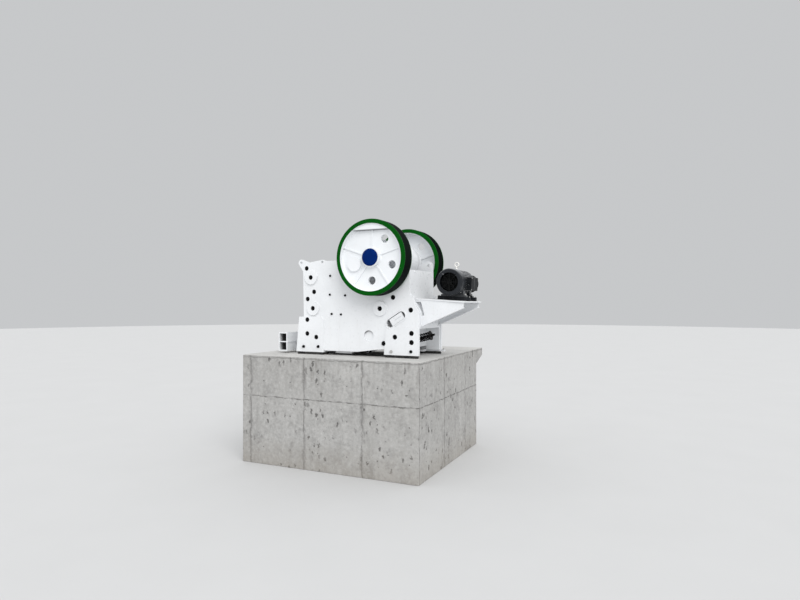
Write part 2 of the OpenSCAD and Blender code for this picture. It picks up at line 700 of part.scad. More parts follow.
// Motor bracket: two webs, the sloping top plate, the root plate and the webs' lower flanges
module motor_bracket() {
    web = [[shelf_x + 24, shelf_z], [rear_x - rear_slope, shelf_z], [rear_x, rear_bend], [rear_x, root_low],
        [bracket_tip - 15, under_z(bracket_tip) - 100], [bracket_tip, under_z(bracket_tip) + 4],
        [shelf_x + 24, under_z(shelf_x + 24) + 4]];
    web_slot = [[rear_x - rear_slope + 5, 1243], [rear_x - 32, 1243], [rear_x + 88, 975], [rear_x + 86, 950],
        [rear_x + 70, 932], [rear_x + 52, 930], [rear_x + 36, 944], [rear_x + 15, rear_bend]];
    color("white") on_block() {
        for (s = [-1, 1]) {
            difference() {
                slab(s * bracket_web_y - bracket_t / 2, s * bracket_web_y + bracket_t / 2) polygon(web);
                slab(s * bracket_web_y - bracket_t, s * bracket_web_y + bracket_t) polygon(web_slot);
            }
            slab(s * bracket_web_y - 60, s * bracket_web_y + 60)
                polygon([web[3], [web[3][0], web[3][1] - 24], [web[4][0], web[4][1] - 24], web[4]]);
        }
        slab(-bracket_web_y - 60, bracket_web_y + 60)
            polygon([web[2], web[3], [rear_x + bracket_t, root_low], [rear_x + bracket_t, rear_bend + 6],
                [rear_x - rear_slope + bracket_t, shelf_z + 10], web[1]]);
        on_bracket() block(shelf_x + 24 - bracket_x, bracket_end - bracket_x, -bracket_half, bracket_half,
            -bracket_t, 0);
    }
}

rail_w = 90;
rail_l = 760;
function foot_y(k) = motor_near + cowl_l + foot_first + k * foot_pitch;
module motor_rails() {
    color("#26282b") on_block() on_bracket() for (k = [0, 1]) difference() {
        block(motor_x - rail_l / 2, motor_x + rail_l / 2, foot_y(k) - rail_w / 2, foot_y(k) + rail_w / 2,
            0, rail_h);
        block(motor_x - rail_l / 2 + 40, motor_x + rail_l / 2 - 40, foot_y(k) - 12, foot_y(k) + 12,
            30, rail_h + e);
    }
}

// Local frame of the motor: X = 0 and Z = 0 on its shaft
module on_motor() { on_bracket() translate([motor_x, 0, rail_h + motor_h]) children(); }
body_from = motor_near + cowl_l;
body_to = body_from + motor_l;
box_x = motor_r + fin_h + 12;
box_y = body_from + 100;
box_w = 500;
entry_r = 24;                            // cable entry in the terminal box
entry_depth = 20;
motor_foot = 300;
motor_neck = 90;
eye_off = 220;
eye_y = body_from + eye_off;
module motor_frame() {
    outline = [for (i = [0 : fins - 1], p = [[0, 0], [0.5, 0], [0.58, 1], [0.92, 1]])
        let (a = -90 + 360 * (i + p[0]) / fins, r = motor_r + fin_h * p[1]) [r * cos(a), r * sin(a)]];
    color("#26282b") on_block() on_motor() {
        slab(body_from, body_to) polygon(outline);
        block(motor_r - 60, box_x, box_y + 30, box_y + box_w - 30, -140, 110);
        translate([0, eye_y, motor_r - 20]) cylinder(h = fin_h + 26, r = 40, $fn = 32);
        for (k = [0, 1]) slab(foot_y(k) - 55, foot_y(k) + 55) polygon([[-motor_foot, -motor_h],
            [motor_foot, -motor_h], [motor_foot, -motor_h + 34], [motor_foot - 65, -motor_h + 46],
            [motor_r - 20, -motor_neck], [-motor_r + 20, -motor_neck],
            [65 - motor_foot, -motor_h + 46], [-motor_foot, -motor_h + 34]]);
    }
}

// Fan cowl: a rounded drum with a ringed air inlet
cowl_wall = 8;
inlet_r = 212;
module motor_fan_cowl() {
    color("#26282b") on_block() on_motor() translate([0, body_from, 0]) rotate([90, 0, 0]) {
        rotate_extrude($fn = 96) polygon(concat([[motor_r - 30, 0], [cowl_r, 0]],
            arc([cowl_r - 40, cowl_l - 40], 40, 0, 90, 6),
            [[inlet_r, cowl_l], [inlet_r, cowl_l - cowl_wall]],
            reverse(arc([cowl_r - 40, cowl_l - 40], 40 - cowl_wall, 0, 90, 6)),
            [[cowl_r - cowl_wall, cowl_wall], [motor_r - 30, cowl_wall]]));
        for (r = [70 : 42 : inlet_r - 20]) translate([0, 0, cowl_l - 8])
            rotate_extrude($fn = 64) translate([r, 0]) square([9, 8]);
        for (a = [0 : 45 : 135]) rotate([0, 0, a])
            translate([-inlet_r - 4, -6, cowl_l - 8]) cube([2 * inlet_r + 8, 12, 8]);
        cylinder(h = cowl_l - 8 - 90, r = motor_r - 60, $fn = 64);
    }
}

module motor_drive_shield() {
    color("#26282b") on_block() on_motor() translate([0, body_to, 0]) rotate([-90, 0, 0]) difference() {
        rotate_extrude($fn = 96) polygon([[0, 0], [motor_r + fin_h, 0], [motor_r + fin_h, 26],
            [motor_r - 10, 44], [150, 58], [120, 84], [0, 84]]);
        translate([0, 0, -e]) cylinder(h = 90, r = shaft_r + key_gap, $fn = 48);
    }
}

module motor_terminal_box() {
    color("#26282b") on_block() on_motor() difference() {
        block(box_x, box_x + 100, box_y, box_y + box_w, -165, 135);
        bar([box_x + 52, -15], entry_r, box_y - e, box_y + entry_depth, 32);
    }
}

shaft_r = 45;
module motor_shaft() {
    color("silver") on_block() on_motor() bar([0, 0], shaft_r, body_to, fw_out - 60);
}

sheave_hub_r = 100;
sheave_web = [130, 200];                 // the web between hub and rim, along the shaft
sheave_hub = [20, 300];                  // the hub, along the shaft
module motor_sheave() {
    pitch = rim_w / (grooves + 1);
    color("dimgray") on_block() on_motor() translate([0, fw_in, 0]) rotate([-90, 0, 0])
        rotate_extrude($fn = 96) polygon(concat([[shaft_r + key_gap, sheave_hub[0]],
            [sheave_hub_r, sheave_hub[0]], [sheave_hub_r, sheave_web[0]],
            [sheave_r - 50, sheave_web[0]], [sheave_r - 50, 0], [sheave_r, 0]],
            [for (i = [1 : 1 : grooves], p = [[-0.38, 0], [-0.14, 1], [0.14, 1], [0.38, 0]])
                [sheave_r - groove_depth * p[1], (i + p[0]) * pitch]],
            [[sheave_r, rim_w], [sheave_r - 50, rim_w], [sheave_r - 50, sheave_web[1]],
                [sheave_hub_r, sheave_web[1]], [sheave_hub_r, sheave_hub[1]],
                [shaft_r + key_gap, sheave_hub[1]]]));
}

module motor_lifting_eye() {
    color("silver") on_block() on_motor() translate([0, eye_y, motor_r + fin_h + 6]) {
        cylinder(h = 14, r = 36, $fn = 32);
        cylinder(h = 66, r = 18, $fn = 32);
        translate([0, 0, 110]) rotate([90, 0, 0]) rotate_extrude($fn = 48)
            translate([46, 0]) circle(r = 15, $fn = 24);
    }
}

foundation_block();
front_foot_pads();
rear_foot_pads();
near_side_plate();
far_side_plate();
near_front_foot();
far_front_foot();
near_rear_foot();
far_rear_foot();
front_frame();
front_beam();
rear_frame();
rear_cover();
fixed_jaw_plate();
fixed_jaw_retainer();
swing_jaw_plate();
swing_jaw_wedge();
near_cheek_plate();
far_cheek_plate();
pitman();
near_bearing_housing();
far_bearing_housing();
eccentric_shaft();
near_flywheel();
far_flywheel();
near_hub_cap();
far_hub_cap();
toggle_plate();
pitman_toggle_seat();
beam_toggle_seat();
toggle_beam();
near_adjusting_wedge();
far_adjusting_wedge();
tension_rod();
tension_spring();
motor_bracket();
motor_rails();
motor_frame();
motor_fan_cowl();
motor_drive_shield();
motor_terminal_box();
motor_shaft();
motor_sheave();
motor_lifting_eye();
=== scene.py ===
import math

import bmesh
import bpy
import numpy as np
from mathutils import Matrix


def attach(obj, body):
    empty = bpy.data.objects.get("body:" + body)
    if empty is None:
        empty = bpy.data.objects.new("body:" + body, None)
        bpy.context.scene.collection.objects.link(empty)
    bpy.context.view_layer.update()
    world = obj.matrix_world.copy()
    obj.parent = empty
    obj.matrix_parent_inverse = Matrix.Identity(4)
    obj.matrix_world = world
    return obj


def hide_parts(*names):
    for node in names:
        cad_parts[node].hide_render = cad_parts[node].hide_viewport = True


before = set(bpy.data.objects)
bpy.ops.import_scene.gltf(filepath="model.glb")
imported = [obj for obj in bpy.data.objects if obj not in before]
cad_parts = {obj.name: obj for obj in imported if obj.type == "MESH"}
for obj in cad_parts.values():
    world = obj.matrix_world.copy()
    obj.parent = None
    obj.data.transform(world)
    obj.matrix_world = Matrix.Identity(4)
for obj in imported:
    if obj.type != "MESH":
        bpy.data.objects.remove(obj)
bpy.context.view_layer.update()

# Camera, floor and light.
# The camera stands at the photograph's place, 12 m to the near side and a little above the top of the
# block, and looks level. The floor and the light are a plain studio's.


def in_scene(name, data):
    """A new object that holds the data, linked into the scene."""
    made = bpy.data.objects.new(name, data)
    bpy.context.scene.collection.objects.link(made)
    return made


def node(tree, kind, inputs=(), **settings):
    """One shader node: inputs are pairs of a socket and its value or link, settings its own properties."""
    made = tree.nodes.new(kind)
    for key, value in settings.items():
        setattr(made, key, value)
    for socket, value in inputs:
        if isinstance(value, bpy.types.NodeSocket):
            tree.links.new(value, made.inputs[socket])
        else:
            made.inputs[socket].default_value = value
    return made


def calc(tree, operation, first, *others):
    """One math operation on numbers or links. Over more than two it is carried on from left to right, so
    that MULTIPLY gives the product of them all and MAXIMUM the largest."""
    for other in others or (0.0,):
        first = node(tree, "ShaderNodeMath", [(0, first), (1, other)], operation=operation).outputs[0]
    return first


def mix(tree, share, first, second):
    """The colour first times 1 - share plus second times share."""
    pairs = [(0, share), (6, first), (7, second)]
    return node(tree, "ShaderNodeMix", pairs, data_type="RGBA", clamp_factor=True).outputs[2]


def noise(tree, where, scale, detail=3.0, rough=0.55):
    """Cloudy noise from 0 to 1, with scale patches to the metre."""
    pairs = [("Vector", where), ("Scale", scale), ("Detail", detail), ("Roughness", rough)]
    return node(tree, "ShaderNodeTexNoise", pairs).outputs[0]


def grey(value):
    """A neutral colour of the given brightness."""
    return (value, value, value, 1.0)


def material(name, metallic=0.0, roughness=0.5, coat=0.0, coat_roughness=0.1, specular=0.5, ior=1.5):
    """A new material, with its node tree, its shader and the Object coordinates."""
    made = bpy.data.materials.new(name)
    made.use_nodes = True
    tree = made.node_tree
    shader = tree.nodes["Principled BSDF"]
    for socket, value in (("Metallic", metallic), ("Roughness", roughness), ("Coat Weight", coat),
            ("Coat Roughness", coat_roughness), ("Specular IOR Level", specular), ("IOR", ior)):
        shader.inputs[socket].default_value = value
    return made, tree, shader, tree.nodes.new("ShaderNodeTexCoord").outputs["Object"]


camera_data = bpy.data.cameras.new("site_camera")
camera_data.sensor_width = 36.0
camera_data.lens = 25.97
camera_data.clip_end = 500.0
camera = in_scene("site_camera", camera_data)
camera.location = (5.841, -12.295, 3.714)
camera.rotation_euler = (math.radians(90.302), 0.0, math.radians(24.704))
bpy.context.scene.camera = camera
bpy.context.scene.view_settings.view_transform = "Standard"

FLOOR_RADIUS = 90.0
FLOOR_SIDES = 96
FLOOR_Z = -0.002
floor_paint, tree, shader, place = material("studio_floor", roughness=0.85)
tree.links.new(mix(tree, noise(tree, place, 0.6), grey(0.58), grey(0.61)), shader.inputs["Base Color"])
turn = np.linspace(0.0, 2.0 * math.pi, FLOOR_SIDES, endpoint=False)
rim = np.stack([FLOOR_RADIUS * np.cos(turn), FLOOR_RADIUS * np.sin(turn), np.full(FLOOR_SIDES, FLOOR_Z)], 1)
floor_mesh = bpy.data.meshes.new("studio_floor")
floor_mesh.from_pydata(rim.tolist(), [], [list(range(FLOOR_SIDES))])
floor_mesh.materials.append(floor_paint)
floor = in_scene("studio_floor", floor_mesh)

world = bpy.data.worlds.new("studio")
bpy.context.scene.world = world
world.use_nodes = True
tree = world.node_tree
tree.nodes.clear()
ray = tree.nodes.new("ShaderNodeLightPath").outputs
seen = calc(tree, "MAXIMUM", ray["Is Camera Ray"], ray["Is Glossy Ray"], ray["Is Transmission Ray"])
light = node(tree, "ShaderNodeBackground", [("Color", (0.97, 0.985, 1.0, 1.0)), ("Strength", 1.03)])
backdrop = node(tree, "ShaderNodeBackground", [("Color", (0.57, 0.58, 0.59, 1.0)), ("Strength", 1.0)])
lit = node(tree, "ShaderNodeMixShader", [(0, seen), (1, light.outputs[0]), (2, backdrop.outputs[0])])
node(tree, "ShaderNodeOutputWorld", [("Surface", lit.outputs[0])])

key_data = bpy.data.lights.new("key_light", "SUN")
key_data.energy = 1.35
key_data.angle = math.radians(38.0)
key_data.color = (1.0, 0.99, 0.97)
key = in_scene("key_light", key_data)
key.rotation_euler = (math.radians(53.0), 0.0, math.radians(43.0))

# Concrete block.
# One block poured in place against ply panels, so its sides show the panels' joints, the tie holes, air
# holes and rain stains, and its top is floated. It carries the whole machine.
BLOCK_TOP = 2.5
PANEL = 1.47
JOINT_X = -0.02
JOINT_Y = 0.01
JOINT_Z = 1.56
TIE_X = 0.347
TIE_Y = 0.3775
TIE_Z = 0.40
TIE_APART = 0.5 * PANEL
TIE_RISE = 0.76


def ramp(tree, value, low, high, start=0.0, end=1.0):
    """start + (end - start) (value - low) / (high - low), held at start and end outside that range."""
    pairs = [("Value", value), ("From Min", low), ("From Max", high), ("To Min", start), ("To Max", end)]
    return node(tree, "ShaderNodeMapRange", pairs, clamp=True).outputs[0]


def fade(tree, value, low, high):
    """1 where value is under low, falling evenly to 0 at high."""
    return ramp(tree, value, low, high, 1.0, 0.0)


def away(tree, value, centre):
    """How far value lies from centre, on either side."""
    return calc(tree, "ABSOLUTE", calc(tree, "SUBTRACT", value, centre))


def length(tree, across, up):
    """The root of across squared plus up squared."""
    squares = [calc(tree, "MULTIPLY", leg, leg) for leg in (across, up)]
    return calc(tree, "SQRT", calc(tree, "ADD", *squares))


def to_line(tree, value, first, pitch):
    """How far value lies from the nearest of the lines at first plus any number of pitches."""
    return calc(tree, "PINGPONG", calc(tree, "SUBTRACT", value, first), 0.5 * pitch)


def split(tree, vector):
    """The X, Y and Z of a vector."""
    return tuple(node(tree, "ShaderNodeSeparateXYZ", [(0, vector)]).outputs)


def stretched(tree, where, scale):
    """The coordinates times scale along each axis: a pattern read there is long where scale is small."""
    return node(tree, "ShaderNodeMapping", [("Vector", where), ("Scale", scale)]).outputs[0]


def to_seed(tree, where, scale):
    """The way from a point to the nearest of seeds scattered at scale to the metre, times scale."""
    pairs = [("Vector", where), ("Scale", scale), ("Randomness", 1.0)]
    return node(tree, "ShaderNodeTexVoronoi", pairs, voronoi_dimensions="3D").outputs[0]


def bump(tree, shader, heights):
    """Chains bumps, each a height, its depth in metres and its strength, into the shader's normal."""
    last = None
    for height, depth, strength in heights:
        pairs = [("Height", height), ("Distance", depth), ("Strength", strength)]
        if last is not None:
            pairs.append(("Normal", last))
        last = node(tree, "ShaderNodeBump", pairs).outputs[0]
    tree.links.new(last, shader.inputs["Normal"])


concrete, tree, shader, place = material("cast_concrete", roughness=0.88, specular=0.3)
at_x, at_y, at_z = split(tree, place)
facing = split(tree, tree.nodes.new("ShaderNodeNewGeometry").outputs["True Normal"])
upright = fade(tree, calc(tree, "ABSOLUTE", facing[2]), 0.3, 0.6)
on_end = calc(tree, "ABSOLUTE", facing[0])
on_side_wall = calc(tree, "SUBTRACT", 1.0, on_end)


def joint_lines(tree, shift, half):
    """The panels' upright joints, moved along the wall by shift: 1 on a joint, falling to 0 at half a
    line's width from it."""
    lines = []
    for way, first, wall in ((at_x, JOINT_X, on_side_wall), (at_y, JOINT_Y, on_end)):
        off = to_line(tree, calc(tree, "ADD", way, shift), first, PANEL)
        lines.append(calc(tree, "MULTIPLY", fade(tree, off, 0.0, half), wall))
    return calc(tree, "MAXIMUM", *lines)


# Clouds, patches, mottle and grain of the cement skin, and streaks and drips that hang down the walls.
cloud = noise(tree, place, 0.9, 5.0, 0.6)
patch = noise(tree, place, 5.5, 4.0, 0.6)
grain = noise(tree, place, 110.0, 2.0, 0.5)
mottle = noise(tree, place, 15.0, 5.0, 0.7)
hanging = stretched(tree, place, (3.2, 3.2, 0.35))
streak = noise(tree, hanging, 1.6, 5.0, 0.65)
drip = noise(tree, hanging, 5.0, 4.0, 0.6)

# Rain runs off the top's edge, mostly in the uppermost metre, and leaves dark drips and blotches.
below_top = ramp(tree, calc(tree, "ADD", at_z, ramp(tree, patch, 0.2, 0.8, -0.2, 0.2)), 1.6, 2.4)
wet = ramp(tree, noise(tree, place, 1.1, 3.0), 0.42, 0.58, 0.25, 1.0)
run_off = calc(tree, "MULTIPLY", ramp(tree, drip, 0.47, 0.66, 0.0, 0.75), wet, below_top, upright)
blotch = ramp(tree, noise(tree, place, 2.6, 6.0, 0.7), 0.53, 0.68, 0.0, 0.6)

# A dark line a few centimetres under the edge, where the top was screeded, and the pale floated top.
rim_height = ramp(tree, patch, 0.3, 0.7, BLOCK_TOP - 0.055, BLOCK_TOP - 0.025)
rim_line = calc(tree, "MULTIPLY", fade(tree, away(tree, at_z, rim_height), 0.006, 0.022), upright,
    ramp(tree, cloud, 0.35, 0.6, 0.25, 0.7))
floated = calc(tree, "MULTIPLY", ramp(tree, upright, 0.0, 1.0, 0.75, 0.0),
    ramp(tree, cloud, 0.3, 0.6, 0.5, 1.0))

# Each panel has a tone of its own, drawn by its number along X, Y and Z.
panel_x = calc(tree, "DIVIDE", calc(tree, "SUBTRACT", at_x, JOINT_X), PANEL)
panel_y = calc(tree, "DIVIDE", calc(tree, "SUBTRACT", at_y, JOINT_Y), PANEL)
panel_z = calc(tree, "SUBTRACT", at_z, JOINT_Z)
panel = node(tree, "ShaderNodeCombineXYZ",
    [(axis, calc(tree, "FLOOR", way)) for axis, way in enumerate((panel_x, panel_y, panel_z))]).outputs[0]
tone = node(tree, "ShaderNodeTexWhiteNoise", [("Vector", panel)], noise_dimensions="3D").outputs[0]

# The joints wander a little and are broken, and cement water leaked out beside them.
wander = ramp(tree, noise(tree, place, 5.0, 5.0, 0.7), 0.3, 0.7, -0.014, 0.014)
level_joint = fade(tree, away(tree, calc(tree, "ADD", at_z, wander), JOINT_Z), 0.004, 0.018)
broken = ramp(tree, noise(tree, place, 7.0, 4.0, 0.65), 0.38, 0.58, 0.2, 1.0)
joints = calc(tree, "MAXIMUM", joint_lines(tree, wander, 0.017), level_joint)
joints = calc(tree, "MULTIPLY", joints, upright, broken)
leak = joint_lines(tree, calc(tree, "MULTIPLY", wander, 5.0), 0.06)
leak = calc(tree, "MULTIPLY", leak, ramp(tree, drip, 0.40, 0.55), upright)

# Small round air holes in some patches, and larger torn voids in others.
pitted = ramp(tree, noise(tree, place, 2.4), 0.5, 0.62)
pits = calc(tree, "MULTIPLY", fade(tree, to_seed(tree, place, 21.0), 0.10, 0.15), pitted, upright)
swirl = node(tree, "ShaderNodeTexNoise", [("Vector", place), ("Scale", 16.0), ("Detail", 3.0)]).outputs[1]
swirl = node(tree, "ShaderNodeVectorMath", [(0, swirl), ("Scale", 0.12)], operation="SCALE").outputs[0]
torn = node(tree, "ShaderNodeVectorMath", [(0, place), (1, swirl)], operation="ADD").outputs[0]
voids = fade(tree, to_seed(tree, stretched(tree, torn, (1.0, 1.0, 0.55)), 6.5), 0.17, 0.235)
voids = calc(tree, "MULTIPLY", voids, ramp(tree, noise(tree, place, 1.3, 3.0), 0.42, 0.54), upright)
pits = calc(tree, "MAXIMUM", pits, voids)

# Holes of the ties that held the panels, and earth splashed up at the foot.
tie_beside = calc(tree, "ADD",
    calc(tree, "MULTIPLY", to_line(tree, at_x, TIE_X, TIE_APART), on_side_wall),
    calc(tree, "MULTIPLY", to_line(tree, at_y, TIE_Y, TIE_APART), on_end))
tie = length(tree, tie_beside, to_line(tree, at_z, TIE_Z, TIE_RISE))
ties = calc(tree, "MULTIPLY", fade(tree, tie, 0.011, 0.015), upright)
splashed = calc(tree, "ADD", at_z, ramp(tree, patch, 0.2, 0.8, -0.25, 0.25))

colour = mix(tree, ramp(tree, cloud, 0.3, 0.7), (0.355, 0.349, 0.341, 1), (0.480, 0.474, 0.465, 1))
for share, tint in (
        (ramp(tree, patch, 0.25, 0.75, 0.0, 0.5), (0.46, 0.45, 0.435, 1)),
        (calc(tree, "MULTIPLY", ramp(tree, streak, 0.50, 0.72, 0.0, 0.36), upright), (0.26, 0.255, 0.245, 1)),
        (calc(tree, "MULTIPLY", ramp(tree, streak, 0.47, 0.30, 0.0, 0.32), upright), (0.58, 0.575, 0.56, 1)),
        (run_off, (0.21, 0.195, 0.18, 1)),
        (calc(tree, "MULTIPLY", blotch, upright), (0.25, 0.245, 0.24, 1)),
        (ramp(tree, mottle, 0.52, 0.68, 0.0, 0.5), (0.24, 0.236, 0.23, 1)),
        (ramp(tree, mottle, 0.48, 0.32, 0.0, 0.5), (0.60, 0.595, 0.585, 1)),
        (ramp(tree, grain, 0.2, 0.8, 0.0, 0.16), (0.2, 0.2, 0.19, 1)),
        (rim_line, (0.15, 0.147, 0.142, 1)),
        (floated, (0.60, 0.59, 0.57, 1)),
        (calc(tree, "MULTIPLY", ramp(tree, tone, 0.0, 1.0, 0.0, 0.22), upright), (0.34, 0.33, 0.31, 1)),
        (calc(tree, "MULTIPLY", joints, 0.88), (0.12, 0.116, 0.11, 1)),
        (calc(tree, "MULTIPLY", leak, 0.65), (0.19, 0.185, 0.18, 1)),
        (calc(tree, "MULTIPLY", pits, 0.8), (0.10, 0.097, 0.092, 1)),
        (calc(tree, "MULTIPLY", ties, 0.8), (0.09, 0.088, 0.085, 1)),
        (ramp(tree, splashed, 0.0, 0.7, 0.35, 0.0), (0.27, 0.235, 0.19, 1))):
    colour = mix(tree, share, colour, tint)
tree.links.new(colour, shader.inputs["Base Color"])
sunk = calc(tree, "SUBTRACT", 1.0, calc(tree, "MAXIMUM", pits, ties, joints))
bump(tree, shader, [(cloud, 0.02, 0.35), (patch, 0.006, 0.4), (grain, 0.0012, 0.5), (sunk, 0.006, 0.9)])


def shade_curved(mesh, sharp):
    """Shades every bend of the mesh below the sharp angle, in degrees, as curved."""
    mesh.polygons.foreach_set("use_smooth", np.ones(len(mesh.polygons), bool))
    mesh.set_sharp_from_angle(angle=math.radians(sharp))


def joined_copy(source, name, made, body, edge=0.0, sharp=32.0):
    """A copy of a CAD solid's surface as one skin: its loose triangles are joined at their corners, faces
    that lie in one plane become one, bends below the sharp angle shade as curved, and every sharper edge is
    rounded off to the edge radius."""
    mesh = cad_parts[source].data.copy()
    mesh.name = name
    work = bmesh.new()
    work.from_mesh(mesh)
    bmesh.ops.remove_doubles(work, verts=work.verts, dist=2e-5)
    bmesh.ops.dissolve_limit(work, angle_limit=math.radians(0.4), verts=work.verts, edges=work.edges)
    work.to_mesh(mesh)
    work.free()
    shade_curved(mesh, sharp)
    mesh.materials.clear()
    mesh.materials.append(made)
    piece = in_scene(name, mesh)
    if edge > 0.0:
        rounding = piece.modifiers.new("rounded_edges", "BEVEL")
        rounding.width = edge
        rounding.segments = 2
        rounding.limit_method = "ANGLE"
        rounding.angle_limit = math.radians(sharp)
        rounding.use_clamp_overlap = True
        rounding.harden_normals = True
    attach(piece, body)
    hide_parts(source)
    return piece


joined_copy("foundation_block", "cast_block", concrete, "crusher", edge=0.012)

# Rubber pads.
# Black rubber strips under the feet, which keep the machine's shaking off the concrete. They are cut from
# ribbed sheet and are dusty along their edges.
rubber, tree, shader, place = material("pad_rubber", roughness=0.75, specular=0.35)
dust = noise(tree, place, 9.0, 4.0)
colour = mix(tree, ramp(tree, dust, 0.4, 0.75, 0.0, 0.5), (0.014, 0.014, 0.015, 1), (0.12, 0.112, 0.1, 1))
tree.links.new(colour, shader.inputs["Base Color"])
bump(tree, shader, [(noise(tree, place, 160.0, 2.0), 0.001, 0.5), (dust, 0.003, 0.4)])
for name in ("front_foot_pads", "rear_foot_pads"):
    joined_copy(name, f"{name}_cut", rubber, "crusher", edge=0.004)

# Welded and cast frame.
# Rolled side plates with doubling plates at the feet, a welded box beam in front, and ribbed front and
# rear castings, all sprayed with gloss white enamel. The castings are rougher under the paint, and dust
# lies on what faces up.
WHITE = (0.840, 0.855, 0.875, 1)
DUSTY = (0.52, 0.49, 0.44, 1)
POCKET_X = -0.267
POCKET_Z = 2.970
POCKET_RADIUS = 0.126
TUBE_X = -2.625
BEAM_Z = 2.775
SHADE_BLACK = (0.012, 0.0115, 0.011, 1)


def enamel(name, colour, dust_and_sheen, roughness, texture, dust=0.35, coat=0.25, specular=0.5, level=(0.55, 0.95)):
    """Sprayed enamel: colour with faint clouds and runs, a rougher skin where the dust_and_sheen colour lies,
    orange peel and the base's own texture. That colour is dust, and on the motor dust and painted highlight;
    it starts and is full where the normal's Z has the two values of level."""
    made, tree, shader, place = material(name, roughness=roughness, coat=coat, coat_roughness=0.12,
        specular=specular)
    clouds = noise(tree, place, 1.7, 4.0)
    fine = noise(tree, place, 14.0, 4.0, 0.6)
    up = split(tree, tree.nodes.new("ShaderNodeNewGeometry").outputs["Normal"])[2]
    lies = calc(tree, "MULTIPLY", ramp(tree, up, *level, 0.0, dust), ramp(tree, fine, 0.3, 0.7, 0.35, 1.0))
    run = noise(tree, stretched(tree, place, (5.0, 5.0, 0.5)), 2.2, 5.0, 0.65)
    shade = tuple(0.93 * value for value in colour[:3]) + (1,)
    tint = mix(tree, ramp(tree, clouds, 0.3, 0.7), colour, shade)
    tint = mix(tree, ramp(tree, run, 0.56, 0.8, 0.0, 0.16), tint, dust_and_sheen)
    tint = mix(tree, lies, tint, dust_and_sheen)
    tree.links.new(tint, shader.inputs["Base Color"])
    rough = calc(tree, "ADD", ramp(tree, fine, 0.3, 0.7, roughness - 0.06, roughness + 0.08),
        calc(tree, "MULTIPLY", lies, 0.5))
    tree.links.new(rough, shader.inputs["Roughness"])
    bump(tree, shader, [(clouds, 0.004, 0.3), (noise(tree, place, 240.0, 1.0), 0.0004, 0.35),
        (noise(tree, place, 55.0, 3.0, 0.6), texture, 0.5)])
    return made


def places(made):
    """A finished material's node tree and the three Object coordinates in it."""
    tree = made.node_tree
    return tree, *split(tree, tree.nodes.new("ShaderNodeTexCoord").outputs["Object"])


def stain(made, share, colour):
    """Mixes the colour by share over what the material's colour is so far."""
    tree = made.node_tree
    socket = tree.nodes["Principled BSDF"].inputs["Base Color"]
    tree.links.new(mix(tree, share, socket.links[0].from_socket, colour), socket)


# Shade under the upper edge of the round pocket in each side plate.
plate_paint = enamel("white_enamel_on_plate", WHITE, DUSTY, roughness=0.30, texture=0.0005)
tree, at_x, at_y, at_z = places(plate_paint)
above = calc(tree, "SUBTRACT", at_z, POCKET_Z)
off = length(tree, calc(tree, "SUBTRACT", at_x, POCKET_X), above)
sunk_floor = fade(tree, calc(tree, "ABSOLUTE", at_y), 0.7125, 0.7145)
shaded = calc(tree, "MULTIPLY", fade(tree, off, POCKET_RADIUS, POCKET_RADIUS + 0.001), sunk_floor,
    ramp(tree, off, 0.080, 0.120), ramp(tree, above, 0.02, 0.075), 0.75)
stain(plate_paint, shaded, grey(0.10))
for name in ("near_side_plate", "far_side_plate", "near_front_foot", "far_front_foot", "near_rear_foot",
        "far_rear_foot", "rear_cover"):
    joined_copy(name, f"{name}_painted", plate_paint, "crusher", edge=0.002)

# Painted shade: inside the beam's two tubes, above and below its middle web, darker the deeper in.
beam_paint = enamel("white_enamel_on_beam", WHITE, DUSTY, roughness=0.30, texture=0.0005)
tree, at_x, at_y, at_z = places(beam_paint)
off_web = away(tree, at_z, BEAM_Z)
in_tube = calc(tree, "MULTIPLY", fade(tree, away(tree, at_x, TUBE_X), 0.0995, 0.103),
    ramp(tree, off_web, 0.011, 0.0125), fade(tree, off_web, 0.1995, 0.202))
painted_tube_shade = ramp(tree, calc(tree, "ABSOLUTE", at_y), 0.56, 0.705, 0.93, 0.0)
stain(beam_paint, calc(tree, "MULTIPLY", in_tube, painted_tube_shade), (0.035, 0.034, 0.033, 1))
joined_copy("front_beam", "front_beam_painted", beam_paint, "crusher", edge=0.002)

# Painted shade: the castings' flanks under the bolt recesses, and what stands behind the window, are painted
# black.
frame_paint = enamel("white_enamel_on_frame", WHITE, DUSTY, roughness=0.36, texture=0.0016)
tree, at_x, at_y, at_z = places(frame_paint)
out_y = calc(tree, "ABSOLUTE", at_y)
on_flank = calc(tree, "MULTIPLY", ramp(tree, out_y, 0.650, 0.654), fade(tree, at_x, 0.86, 0.87))
in_window = calc(tree, "MULTIPLY", ramp(tree, at_x, -0.30, -0.29), fade(tree, at_x, 0.52, 0.60))
under_top = calc(tree, "MAXIMUM", fade(tree, at_z, 3.84, 3.86), fade(tree, at_x, -1.0, -0.9))
painted_recess_shade = calc(tree, "MULTIPLY", calc(tree, "MAXIMUM", on_flank, in_window), fade(tree, out_y, 0.656, 0.658),
    under_top, 0.96)
stain(frame_paint, painted_recess_shade, SHADE_BLACK)
casting_paint = enamel("white_enamel_on_casting", WHITE, DUSTY, roughness=0.36, texture=0.0016)
for name, made in (("front_frame", frame_paint), ("rear_frame", frame_paint),
        ("near_bearing_housing", casting_paint), ("far_bearing_housing", casting_paint)):
    joined_copy(name, f"{name}_painted", made, "crusher", edge=0.005)

